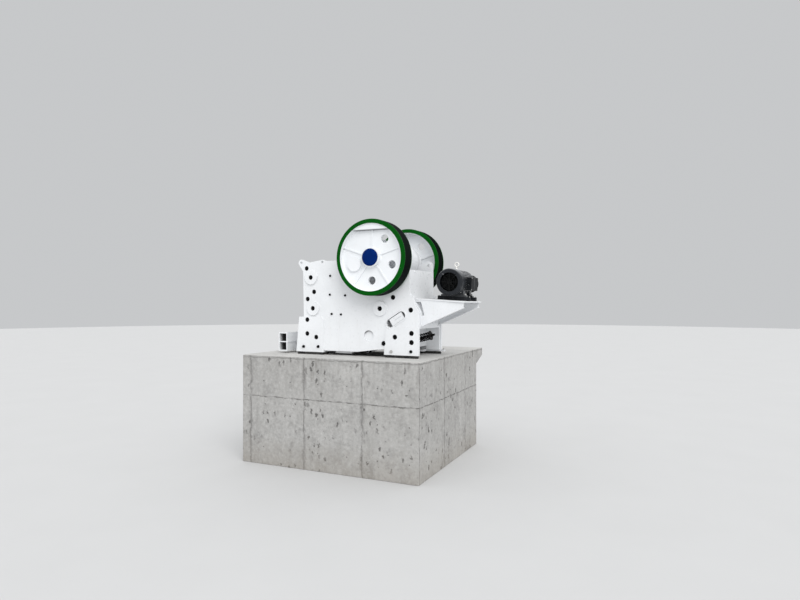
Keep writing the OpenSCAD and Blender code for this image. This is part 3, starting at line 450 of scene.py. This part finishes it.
# Frame bolts.
# Big black studs and nuts sunk in the side plates' recesses hold the front and rear castings. Black liner
# bolts hold the cheek plates, and plated bolts sit at the feet.
SIDES = ((-1.0, "near"), (1.0, "far"))
UP = (0.0, 0.0, 1.0)
PLATE_OUT = 0.715
FRAME_SIDE = 0.655
FOOT_OUT = 0.745
SUNK_NUTS = np.array([(-1.94, 2.04), (-1.80, 1.82), (-1.73, 1.48), (-1.91, 1.31), (-1.74, 1.09),
    (-1.90, 0.82), (-1.90, 0.49), (-1.65, 0.41), (0.34, 1.34), (0.03, 1.09), (0.77, 1.06), (0.40, 0.46),
    (0.80, 0.55), (0.80, 0.35), (0.115, 0.31)])
IN_BOSS = [1, 4, 9]
IN_FOOT = [5, 6, 7, 11, 12, 13, 14]
BOSS_RISE = 0.04
FOOT_RISE = 0.03
LINER_NUTS = [(-1.28, 1.85), (-1.29, 1.41), (-0.88, 1.39), (-1.24, 0.96), (-0.99, 0.95)]
FOOT_BOLTS = [(-2.0, 0.18), (-1.59, 0.19), (0.79, 0.15)]
HEEL_BOLTS = [(0.31, 0.135)]


def bolt(flats, head, washer, washer_t, stud=0.0, stud_out=0.0):
    """A bolt head or nut on its washer, standing on Z = 0, as rings of points. The radius of a hexagon's
    side at an angle is half the width over the cosine of the angle from the side's middle, and the top's rim
    is a circle, as a turned chamfer leaves it. A stud's end stands stud_out above the nut."""
    angle = np.arange(24) * math.pi / 12.0
    third = math.pi / 3.0
    hexagon = 0.5 * flats / np.cos(np.mod(angle + 0.5 * third, third) - 0.5 * third)
    top = washer_t + head
    rows = [(0.0, 0.0), (washer, 0.0), (washer, washer_t), (hexagon, washer_t),
        (hexagon, washer_t + 0.84 * head), (0.48 * flats, top)]
    if stud > 0.0:
        rows += [(stud, top), (stud, top + stud_out - 0.15 * stud), (0.85 * stud, top + stud_out)]
    rows.append((0.0, rows[-1][1]))
    return np.stack([np.stack([radius * np.cos(angle), radius * np.sin(angle), np.full(24, height)], 1)
        for radius, height in rows])


def copies(grid, spots, axis, turn=0.35):
    """The grid set up at every spot: a point x, y, z comes to spot + x first + y second + z axis, where first
    and second are square to the axis and turned round it a little further at each spot."""
    spots = np.asarray(spots, float)
    axis = np.asarray(axis, float) / np.linalg.norm(axis)
    side = np.cross(axis, (0.0, 0.0, 1.0) if abs(axis[2]) < 0.9 else (1.0, 0.0, 0.0))
    side /= np.linalg.norm(side)
    other = np.cross(axis, side)
    spin = np.arange(len(spots)) * turn
    first = np.cos(spin)[:, None] * side + np.sin(spin)[:, None] * other
    second = np.cross(axis, first)
    return (spots[:, None, None, :] + grid[None, :, :, 0:1] * first[:, None, None, :]
        + grid[None, :, :, 1:2] * second[:, None, None, :] + grid[None, :, :, 2:3] * axis)


def skin(name, grids, made, body="crusher", sharp=30.0):
    """A mesh from grids of points, each of shape copies, rows, columns, 3. Every four neighbours are one
    face, and the columns close to a ring. Corners in one place are joined, which closes the poles."""
    points = []
    faces = []
    start = 0
    for grid in grids:
        index = start + np.arange(grid[..., 0].size).reshape(grid.shape[:3])
        after = np.roll(index, -1, axis=2)
        faces.append(np.stack([index[:, :-1], after[:, :-1], after[:, 1:], index[:, 1:]], -1).reshape(-1, 4))
        points.append(grid.reshape(-1, 3))
        start += index.size
    mesh = bpy.data.meshes.new(name)
    mesh.from_pydata(np.concatenate(points).tolist(), [], np.concatenate(faces).tolist())
    work = bmesh.new()
    work.from_mesh(mesh)
    bmesh.ops.remove_doubles(work, verts=work.verts, dist=1e-6)
    bmesh.ops.recalc_face_normals(work, faces=work.faces)
    work.to_mesh(mesh)
    work.free()
    shade_curved(mesh, sharp)
    mesh.materials.append(made)
    piece = in_scene(name, mesh)
    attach(piece, body)
    return piece


def on_side(spots, side, y):
    """Spots given as X and height above the concrete, as points on the plane y out on one side."""
    spots = np.asarray(spots, float)
    return np.stack([spots[:, 0], np.full(len(spots), side * y), spots[:, 1] + BLOCK_TOP], 1)


def small_part_finish(name, scale, first, second, spread=(0.3, 0.75), rough=0.6, dull=None, depth=0.0006,
        strength=0.5, **settings):
    """The finish of bolts and other small parts. One noise carries it all: the colour goes from first to
    second over the spread of the noise, the roughness over dull, and the skin stands depth high."""
    made, tree, shader, place = material(name, **settings)
    worn = noise(tree, place, scale, 4.0, rough)
    tree.links.new(mix(tree, ramp(tree, worn, *spread), first, second), shader.inputs["Base Color"])
    if dull is not None:
        tree.links.new(ramp(tree, worn, 0.3, 0.7, *dull), shader.inputs["Roughness"])
    bump(tree, shader, [(worn, depth, strength)])
    return made


black_iron = small_part_finish("oiled_black_iron", 60.0, (0.0035, 0.0035, 0.004, 1),
    (0.013, 0.0125, 0.012, 1), spread=(0.35, 0.75), dull=(0.45, 0.7), roughness=0.6, specular=0.2, ior=1.15)
zinc = small_part_finish("plated_steel", 45.0, (0.72, 0.72, 0.70, 1), (0.52, 0.51, 0.49, 1),
    dull=(0.3, 0.5), depth=0.0004, metallic=0.8, roughness=0.42)

frame_nut = {"flats": 0.092, "head": 0.050, "washer": 0.0545, "stud": 0.030, "stud_out": 0.010}
frame_nuts = ((np.delete(SUNK_NUTS, IN_BOSS + IN_FOOT, axis=0), 0.0), (SUNK_NUTS[IN_BOSS], BOSS_RISE),
    (SUNK_NUTS[IN_FOOT], FOOT_RISE))
liner_nut = bolt(flats=0.044, head=0.022, washer=0.026, washer_t=0.003, stud=0.014, stud_out=0.012)
foot_bolt = bolt(flats=0.055, head=0.030, washer=0.036, washer_t=0.005)
anchor_nut = bolt(flats=0.055, head=0.030, washer=0.045, washer_t=0.006, stud=0.018, stud_out=0.030)
tab_nut = bolt(flats=0.036, head=0.020, washer=0.028, washer_t=0.004, stud=0.012, stud_out=0.016)
for side, label in SIDES:
    out = (0.0, side, 0.0)
    skin(f"{label}_frame_nuts", [
        copies(bolt(washer_t=0.006 + rise, **frame_nut), on_side(spots, side, FRAME_SIDE), out)
        for spots, rise in frame_nuts], black_iron)
    skin(f"{label}_liner_nuts", [copies(liner_nut, on_side(LINER_NUTS, side, PLATE_OUT), out)], black_iron)
    skin(f"{label}_foot_bolts", [copies(foot_bolt, on_side(FOOT_BOLTS, side, FOOT_OUT), out)], black_iron)
    skin(f"{label}_heel_bolts", [copies(foot_bolt, on_side(HEEL_BOLTS, side, FOOT_OUT), out)], zinc)
    anchors = [(-2.10, side * 0.60, BLOCK_TOP + 0.10), (-2.10, side * 0.48, BLOCK_TOP + 0.10)]
    skin(f"{label}_anchor_bolts", [copies(anchor_nut, anchors, UP)], zinc)
skin("rear_tab_bolt", [copies(tab_nut, [(1.006, 0.715, BLOCK_TOP + 0.10)], UP)], zinc)

# Welds.
# Fillet welds, painted over with the plates, close the feet's doubling plates, the bosses, the windows'
# rims, the beam's webs and the motor bracket. Each is laid in small steps, which show as ripples.
FOOT_WELD = 0.011
BOSS_WELD = 0.010
BOSS_RADIUS = 0.165
WINDOW_WELD = 0.008
WINDOW = np.array([0.412, 0.850])
WINDOW_TILT = math.radians(32.0)
WINDOW_HALF = 0.160
WINDOW_RADIUS = 0.121
BEAM_BACK = -2.5
BEAM_WEB = 0.230
BEAM_WEB_HALF = 0.025
BEAM_WELD = 0.010


def bead(path, leg, other_leg, size):
    """One fillet weld in the corner between two legs, along a path of points. Round the section its points
    lie at p + r (leg cos t + other_leg sin t) for t from 0 to 90 degrees, with r = size times
    (1 + 0.08 sin(2 pi s / 0.013)) at the way s along the path, and one more point lies in the metal behind
    the corner. Both ends taper to a point."""
    path = np.asarray(path, float)
    legs = [np.broadcast_to(np.asarray(one, float), path.shape) for one in (leg, other_leg)]
    way = np.concatenate([[0.0], np.cumsum(np.linalg.norm(np.diff(path, axis=0), axis=1))])
    steps = np.linspace(0.0, way[-1], max(4, int(way[-1] / 0.0045)))
    path, first, second = [np.stack([np.interp(steps, way, one[:, k]) for k in range(3)], 1)
        for one in (path, *legs)]
    radius = size * (1.0 + 0.08 * np.sin(2.0 * math.pi * steps / 0.013))
    radius = (radius * np.clip(np.minimum(steps, way[-1] - steps) / size, 0.0, 1.0) ** 0.5)[:, None, None]
    turn = np.radians([0.0, 22.0, 45.0, 68.0, 90.0])[:, None]
    arc = radius * (first[:, None] * np.cos(turn) + second[:, None] * np.sin(turn))
    back = -0.25 * radius * (first + second)[:, None]
    return (path[:, None] + np.concatenate([arc, back], axis=1))[None]


loop = np.linspace(0.0, 2.0 * math.pi, 73)
radial = np.stack([np.cos(loop), np.sin(loop)], 1)
along = np.array([math.cos(WINDOW_TILT), math.sin(WINDOW_TILT)])
end_turn = loop[:-1] + WINDOW_TILT - 0.5 * math.pi
round_end = np.stack([np.cos(end_turn), np.sin(end_turn)], 1)
which_end = np.where(loop[:-1] < math.pi, 1.0, -1.0)[:, None]
window_rim = WINDOW + WINDOW_HALF * which_end * along + WINDOW_RADIUS * round_end
for side, label in SIDES:
    out = (0.0, side, 0.0)
    beads = [bead(on_side(path, side, PLATE_OUT), leg, (0.0, side * facing_out, 0.0), FOOT_WELD)
        for path, leg, facing_out in (
            ([(-1.45, 0.11), (-1.45, 0.83)], (1, 0, 0), 1.0),
            ([(-1.45, 0.83), (-1.51, 0.89)], (0.707, 0, 0.707), 1.0),
            ([(-1.51, 0.89), (-1.995, 0.89)], (0, 0, 1), 1.0),
            ([(-2.0, 0.11), (-2.0, 0.885)], (-1, 0, 0), -1.0),
            ([(0.145, 0.20), (0.175, 0.675)], (-1, 0, 0), 1.0),
            ([(0.372, 0.68), (0.955, 0.68)], (0, 0, 1), 1.0))]
    beads += [bead(on_side(spot + BOSS_RADIUS * radial, side, PLATE_OUT), np.insert(radial, 1, 0.0, axis=1),
        out, BOSS_WELD) for spot in SUNK_NUTS[IN_BOSS]]
    beads.append(bead(on_side(window_rim, side, PLATE_OUT), np.insert(round_end, 1, 0.0, axis=1), out,
        WINDOW_WELD))
    skin(f"{label}_frame_welds", beads, plate_paint, sharp=60.0)
    for face in (-1.0, 1.0):
        web_face = side * BEAM_WEB + face * BEAM_WEB_HALF
        web_corner = [(BEAM_BACK, web_face, BLOCK_TOP + 0.11), (BEAM_BACK, web_face, BLOCK_TOP + 0.455)]
        skin(f"{label}_beam_weld_{'in' if face * side < 0.0 else 'out'}",
            [bead(web_corner, (1, 0, 0), (0, face, 0), BEAM_WELD)], plate_paint, sharp=60.0)

# Crushing chamber.
# Cast manganese steel jaw plates with upright teeth, and flat cheek plates beside them, as they leave the
# foundry: dark, scaled and lightly rusted. The retainer and the wedge above them are painted.
manganese, tree, shader, place = material("manganese_casting", metallic=0.75, roughness=0.5)
mill_scale = noise(tree, place, 8.0, 5.0, 0.65)
rust = noise(tree, place, 26.0, 5.0, 0.65)
colour = mix(tree, ramp(tree, mill_scale, 0.3, 0.7), (0.11, 0.112, 0.12, 1), (0.2, 0.195, 0.19, 1))
colour = mix(tree, ramp(tree, rust, 0.52, 0.75, 0.0, 0.55), colour, (0.16, 0.085, 0.045, 1))
tree.links.new(colour, shader.inputs["Base Color"])
tree.links.new(ramp(tree, rust, 0.3, 0.7, 0.42, 0.68), shader.inputs["Roughness"])
bump(tree, shader, [(mill_scale, 0.004, 0.4), (rust, 0.0015, 0.5),
    (noise(tree, place, 190.0, 2.0), 0.0006, 0.4)])
for name in ("fixed_jaw_plate", "swing_jaw_plate", "near_cheek_plate", "far_cheek_plate"):
    joined_copy(name, f"{name}_cast", manganese, "crusher", edge=0.004, sharp=25.0)
for name in ("fixed_jaw_retainer", "swing_jaw_wedge"):
    joined_copy(name, f"{name}_painted", casting_paint, "crusher", edge=0.003)

# Pitman.
# The swing jaw's carrier, whose barrel rides on the eccentric shaft. It is one steel casting, bored for its
# bearings and sprayed with the frame castings' white.
joined_copy("pitman", "pitman_painted", casting_paint, "crusher", edge=0.006)

# Shaft and flywheels.
# A forged shaft, and two cast flywheels with a counterweight, ribs and lifting holes. The rims are black
# round their outside and green on both faces, the webs are white, and the caps over the hubs are blue.
SHAFT_Z = 4.712
RIM_INSIDE = 0.7425
RIM_OUTSIDE = 0.790
RIM_FACES = (0.821, 1.150)
COUNTERWEIGHT_CHORD = 0.606
CAP_OUT = 1.1915
forged, tree, shader, place = material("turned_forging", metallic=0.95, roughness=0.3)
turning = noise(tree, stretched(tree, place, (1.0, 60.0, 1.0)), 9.0, 3.0)
colour = mix(tree, turning, (0.42, 0.42, 0.41, 1), (0.56, 0.55, 0.53, 1))
tree.links.new(colour, shader.inputs["Base Color"])
tree.links.new(ramp(tree, turning, 0.3, 0.7, 0.22, 0.4), shader.inputs["Roughness"])
bump(tree, shader, [(turning, 0.0004, 0.4)])
joined_copy("eccentric_shaft", "eccentric_shaft_turned", forged, "rotor", edge=0.002)

# White webs, green on the rim's faces, black round its outside, and painted shade along the counterweight's
# edge.
wheel_paint, tree, shader, place = material("flywheel_enamel", roughness=0.35, specular=0.2, ior=1.15)
at_x, at_y, at_z = split(tree, place)
height = calc(tree, "SUBTRACT", at_z, SHAFT_Z)
radius = length(tree, at_x, height)
wide = calc(tree, "ABSOLUTE", at_y)
clouds = noise(tree, place, 2.3, 4.0)
fine = noise(tree, place, 18.0, 4.0, 0.6)
brushed = ramp(tree, noise(tree, place, 30.0, 2.0), 0.3, 0.7, -0.0008, 0.0008)
on_rim = ramp(tree, calc(tree, "ADD", radius, brushed), RIM_INSIDE, RIM_INSIDE + 0.0015)
on_face = calc(tree, "MAXIMUM", ramp(tree, wide, RIM_FACES[1], RIM_FACES[1] + 0.002),
    fade(tree, wide, RIM_FACES[0], RIM_FACES[0] + 0.002))
outside = calc(tree, "MULTIPLY", ramp(tree, radius, RIM_OUTSIDE, RIM_OUTSIDE + 0.005),
    calc(tree, "SUBTRACT", 1.0, on_face))
# Painted shade: a dark band along the counterweight's chord, where its edge shades the web.
chord_shade = calc(tree, "MULTIPLY", fade(tree, away(tree, height, COUNTERWEIGHT_CHORD), 0.006, 0.017),
    ramp(tree, wide, 1.05, 1.125, 1.0, 0.4), ramp(tree, wide, 1.0, 1.01, 0.0, 0.75))
soft = ramp(tree, clouds, 0.3, 0.7)
colour = mix(tree, chord_shade, mix(tree, soft, WHITE, (0.79, 0.81, 0.83, 1)), grey(0.13))
green = mix(tree, soft, (0.0025, 0.085, 0.006, 1), (0.0025, 0.066, 0.005, 1))
black = mix(tree, ramp(tree, fine, 0.3, 0.75), (0.002, 0.004, 0.0035, 1), (0.005, 0.008, 0.007, 1))
colour = mix(tree, calc(tree, "MULTIPLY", on_rim, on_face), colour, green)
tree.links.new(mix(tree, outside, colour, black), shader.inputs["Base Color"])
rough = calc(tree, "ADD", ramp(tree, fine, 0.3, 0.7, 0.28, 0.4), calc(tree, "MULTIPLY", outside, 0.25))
tree.links.new(rough, shader.inputs["Roughness"])
bump(tree, shader, [(clouds, 0.003, 0.3), (noise(tree, place, 60.0, 3.0, 0.6), 0.001, 0.5)])
for _, label in SIDES:
    joined_copy(f"{label}_flywheel", f"{label}_wheel", wheel_paint, "rotor", edge=0.004)


def round_shaft(count, first, radius, y):
    """Places on a circle round the shaft's axis in the plane y, evenly spaced from the angle first on."""
    turn = np.arange(count) * 2.0 * math.pi / count + first
    return np.stack([radius * np.cos(turn), np.full(count, y), radius * np.sin(turn) + SHAFT_Z], 1)


cap_blue, tree, shader, place = material("hub_cap_enamel", roughness=0.45, specular=0.2, ior=1.15)
soft = ramp(tree, noise(tree, place, 6.0, 4.0), 0.3, 0.7)
colour = mix(tree, soft, (0.0010, 0.0200, 0.145, 1), (0.0010, 0.0150, 0.110, 1))
tree.links.new(colour, shader.inputs["Base Color"])
bump(tree, shader, [(noise(tree, place, 70.0, 3.0, 0.6), 0.0008, 0.5)])
cap_bolt = bolt(flats=0.024, head=0.012, washer=0.017, washer_t=0.003)
for side, label in SIDES:
    joined_copy(f"{label}_hub_cap", f"{label}_cap", cap_blue, "rotor", edge=0.003)
    spots = round_shaft(6, 0.3, 0.150, side * CAP_OUT)
    skin(f"{label}_cap_bolts", [copies(cap_bolt, spots, (0.0, side, 0.0))], cap_blue, "rotor")

# Bearing housings' bolts.
# A ring of twelve steel bolts goes through each housing's flange into the side plate. They were sprayed
# white together with the frame.
HOUSING_OUT = 0.745
housing_bolt = bolt(flats=0.046, head=0.024, washer=0.032, washer_t=0.005)
for side, label in SIDES:
    spots = round_shaft(12, 0.26, 0.330, side * HOUSING_OUT)
    skin(f"{label}_housing_bolts", [copies(housing_bolt, spots, (0.0, side, 0.0))], plate_paint)

# Toggle gear.
# The toggle plate between its steel seats, the beam and the two wedges that set the discharge gap, and the
# tension rod with its coil spring, which keeps the toggle seated.
for name in ("toggle_plate", "toggle_beam", "near_adjusting_wedge", "far_adjusting_wedge"):
    joined_copy(name, f"{name}_painted", casting_paint, "crusher", edge=0.003)
for name in ("pitman_toggle_seat", "beam_toggle_seat"):
    joined_copy(name, f"{name}_turned", forged, "crusher", edge=0.0015)
oiled = small_part_finish("oiled_forging", 12.0, (0.004, 0.0038, 0.0036, 1), (0.022, 0.020, 0.018, 1),
    spread=(0.35, 0.7), dull=(0.35, 0.65), metallic=0.5, roughness=0.5, specular=0.3)
joined_copy("tension_rod", "tension_rod_oiled", oiled, "crusher", edge=0.0015)
spring_black = small_part_finish("spring_enamel", 35.0, (0.004, 0.004, 0.0045, 1),
    (0.012, 0.0118, 0.0115, 1), rough=0.55, depth=0.0008, roughness=0.5, specular=0.2, ior=1.15)
joined_copy("tension_spring", "tension_spring_wound", spring_black, "crusher", sharp=60.0)

# Rear cover's bolts and motor bracket.
# The bracket is welded from plate and bolted to the rear casting through its root plate. It slopes down to
# the rear, so that the motor stands square to the belts.
BRACKET_TILT = math.radians(3.5)
ROOT_X = 0.961
WEB_Y = 0.545
WEB_HALF = 0.013
BRACKET_WELD = 0.010
bracket = joined_copy("motor_bracket", "motor_bracket_painted", plate_paint, "crusher",
    edge=0.002)
corners = np.empty(3 * len(bracket.data.vertices), np.float32)
bracket.data.vertices.foreach_get("co", corners)
corners = corners.reshape(-1, 3)
raised = corners[:, 2] - BLOCK_TOP
# The root plate's ends are drawn in to the webs, and the slot in each web is 45 mm wider at its top.
root_end = (np.abs(corners[:, 1]) > 0.60) & (corners[:, 0] < 0.97) & (raised > 0.9)
corners[root_end, 1] = np.sign(corners[root_end, 1]) * (WEB_Y + WEB_HALF + 0.0005)
slot_top = (np.abs(corners[:, 0] - 0.903) < 0.003) & (np.abs(raised - 1.243) < 0.003)
corners[slot_top, 0] += 0.045
bracket.data.vertices.foreach_set("co", corners.ravel())
bracket.data.update()

cover_bolt = bolt(flats=0.036, head=0.018, washer=0.026, washer_t=0.004)
cover_seats = [(0.745, y, BLOCK_TOP + 1.912) for y in (-0.42, 0.42)]
root_bolt = bolt(flats=0.046, head=0.024, washer=0.034, washer_t=0.005)
root_seats = [(ROOT_X, y, BLOCK_TOP + z) for z in (0.77, 0.94) for y in (-0.33, -0.11, 0.11, 0.33)]
skin("bracket_bolts", [copies(cover_bolt, cover_seats, (1.0, 0.0, 0.0)),
    copies(root_bolt, root_seats, (1.0, 0.0, 0.0))], plate_paint)

top_way = np.array([math.cos(BRACKET_TILT), 0.0, -math.sin(BRACKET_TILT)])
flange_way = np.array([0.990, 0.0, 0.426])
flange_way /= np.linalg.norm(flange_way)
flange_up = (-flange_way[2], 0.0, flange_way[0])
bracket_beads = []
for side in (-1.0, 1.0):
    for face in (-1.0, 1.0):
        web_face = side * WEB_Y + face * WEB_HALF
        under_top = np.array([0.960, web_face, BLOCK_TOP + 1.286])
        over_flange = np.array([0.965, web_face, BLOCK_TOP + 0.713])
        root_foot = np.array([ROOT_X, web_face, BLOCK_TOP + 0.715])
        for start, way, reach, leg in (
                (under_top, top_way, (-0.16, 0.96), (0, 0, -1)),
                (over_flange, flange_way, (0.0, 1.03), flange_up),
                (root_foot, np.array(UP), (0.0, 0.205), (1, 0, 0))):
            path = [start + reach[0] * way, start + reach[1] * way]
            bracket_beads.append(bead(path, (0, face, 0), leg, BRACKET_WELD))
skin("bracket_welds", bracket_beads, plate_paint, sharp=60.0)

# Motor.
# A finned, fan-cooled motor in charcoal enamel on slide rails, with its terminal box on the rear side and
# the grooved sheave for the belts on its shaft.
BRACKET_START = (0.960, 1.312)
MOTOR_ALONG = 0.535
MOTOR_RISE = 0.400
CHARCOAL = (0.030, 0.033, 0.038, 1)
DARK_CHARCOAL = (0.010, 0.0115, 0.014, 1)
PALE_DUST_AND_SHEEN = (0.55, 0.56, 0.58, 1)


def on_motor(points):
    """Points from the motor's own frame, whose X and Z are 0 on its shaft, in the row frame: they are moved
    to the shaft's place above the bracket and turned down by the bracket's tilt."""
    points = np.asarray(points, float)
    x = points[..., 0] + MOTOR_ALONG
    z = points[..., 2] + MOTOR_RISE
    rear = x * math.cos(BRACKET_TILT) + z * math.sin(BRACKET_TILT)
    up = z * math.cos(BRACKET_TILT) - x * math.sin(BRACKET_TILT)
    return np.stack([BRACKET_START[0] + rear, points[..., 1], BLOCK_TOP + BRACKET_START[1] + up], -1)


def prism(outline, height, edge):
    """A plate standing on Z = 0 over an outline round the origin, as rings of points: its walls rise by
    height - edge, and above them the outline draws in by the edge."""
    inner = outline - np.sign(outline) * edge
    middle = 0.0 * outline
    rows = [(middle, 0.0), (outline, 0.0), (outline, height - edge), (inner, height), (middle, height)]
    return np.stack([np.insert(ring, 2, level, axis=1) for ring, level in rows])


def rectangle(half_long, half_short):
    """The four corners half_long and half_short to either side of the origin."""
    return np.array([(1.0, 1.0), (-1.0, 1.0), (-1.0, -1.0), (1.0, -1.0)]) * (half_long, half_short)


rail_paint = enamel("charcoal_enamel", (0.020, 0.022, 0.026, 1), grey(0.20), roughness=0.55, texture=0.0008,
    dust=0.6, coat=0.0, specular=0.12)
# On the fins, the terminal box and the cowl, the pale colour on what faces up is dust and a painted highlight
# on their tops.
body_paint = enamel("charcoal_enamel_on_fins", CHARCOAL, PALE_DUST_AND_SHEEN, roughness=0.34, texture=0.0006, dust=1.0,
    coat=0.35, level=(0.3, 0.65))
box_paint = enamel("charcoal_enamel_on_box", DARK_CHARCOAL, PALE_DUST_AND_SHEEN, roughness=0.5, texture=0.0008, dust=1.0,
    coat=0.0, specular=0.12, level=(0.3, 0.65))
cowl_paint = enamel("charcoal_enamel_on_cowl", (0.022, 0.0245, 0.029, 1), PALE_DUST_AND_SHEEN, roughness=0.40,
    texture=0.0006, dust=0.8, coat=0.0, specular=0.15, level=(0.35, 0.95))
# Painted shade: within the ring of the cowl's guard the cowl is painted near black, for the dark behind its
# bars.
tree, at_x, _, at_z = places(cowl_paint)
cowl_x, _, cowl_z = on_motor([0.0, 0.0, 0.0]).tolist()
off = length(tree, calc(tree, "SUBTRACT", at_x, cowl_x), calc(tree, "SUBTRACT", at_z, cowl_z))
stain(cowl_paint, fade(tree, off, 0.208, 0.212), (0.0025, 0.003, 0.0035, 1))
for name, made, edge in (("motor_fan_cowl", cowl_paint, 0.0015), ("motor_frame", body_paint, 0.0012),
        ("motor_drive_shield", body_paint, 0.002), ("motor_terminal_box", box_paint, 0.005),
        ("motor_rails", rail_paint, 0.003)):
    joined_copy(name, f"{name}_painted", made, "crusher", edge=edge, sharp=28.0)
joined_copy("motor_shaft", "motor_shaft_turned", forged, "crusher", edge=0.002)
eye_plating = small_part_finish("bright_plating", 45.0, (0.95, 0.94, 0.91, 1), (0.84, 0.82, 0.79, 1),
    depth=0.0004, metallic=0.15, roughness=0.45, specular=0.6)
joined_copy("motor_lifting_eye", "motor_lifting_eye_plated", eye_plating, "crusher",
    sharp=50.0)
joined_copy("motor_sheave", "motor_sheave_turned", black_iron, "crusher", edge=0.0015)

motor_up = np.array([math.sin(BRACKET_TILT), 0.0, math.cos(BRACKET_TILT)])
motor_rear = np.array([math.cos(BRACKET_TILT), 0.0, -math.sin(BRACKET_TILT)])
foot_nut = bolt(flats=0.036, head=0.020, washer=0.026, washer_t=0.004, stud=0.012, stud_out=0.012)
feet = on_motor([(x, y, -0.272) for x in (-0.268, 0.268) for y in (0.07, 0.527)])
skin("motor_foot_bolts", [copies(foot_nut, feet, motor_up)], zinc)
rail_bolt = bolt(flats=0.024, head=0.014, washer=0.018, washer_t=0.003)
rail_ends = on_motor([(x, y, -0.315) for x in (-0.362, 0.362) for y in (0.07, 0.527)])
skin("rail_bolts", [copies(rail_bolt, rail_ends, motor_up)], zinc)

BOX_FACE = 0.400
LID = 0.006
lid = prism(rectangle(0.242, 0.142), LID, 0.002)
skin("terminal_box_lid", [copies(lid, on_motor([(BOX_FACE, 0.260, -0.015)]), motor_rear, 0.0)], box_paint)
lid_screw = bolt(flats=0.015, head=0.007, washer=0.010, washer_t=0.002)
lid_corners = on_motor([(BOX_FACE, y, z) for y in (0.035, 0.485) for z in (-0.142, 0.112)])
lid_corners += LID * motor_rear
skin("terminal_box_screws", [copies(lid_screw, lid_corners, motor_rear)], zinc)

cowl_screw = bolt(flats=0.016, head=0.008, washer=0.012, washer_t=0.002)
cowl_screws = [copies(cowl_screw, on_motor([(0.305 * math.cos(turn), -0.115, 0.305 * math.sin(turn))]),
    math.cos(turn) * motor_rear + math.sin(turn) * motor_up) for turn in (0.8, 2.35, 3.93, 5.5)]
skin("fan_cowl_screws", cowl_screws, zinc)

fan_black = small_part_finish("moulded_fan", 22.0, (0.006, 0.006, 0.007, 1), (0.022, 0.021, 0.020, 1),
    rough=0.55, strength=0.4, roughness=0.6, specular=0.3)
blade = prism(rectangle(0.062, 0.0035), 0.055, 0.001)
blade[..., 0] += 0.112
hub = prism(0.056 * radial[:-1], 0.062, 0.004)
shaft_end = on_motor([(0.0, -0.240, 0.0)])
skin("motor_fan", [copies(blade, np.repeat(shaft_end, 8, axis=0), (0.0, -1.0, 0.0), 0.25 * math.pi),
    copies(hub, shaft_end, (0.0, -1.0, 0.0))], fan_black)
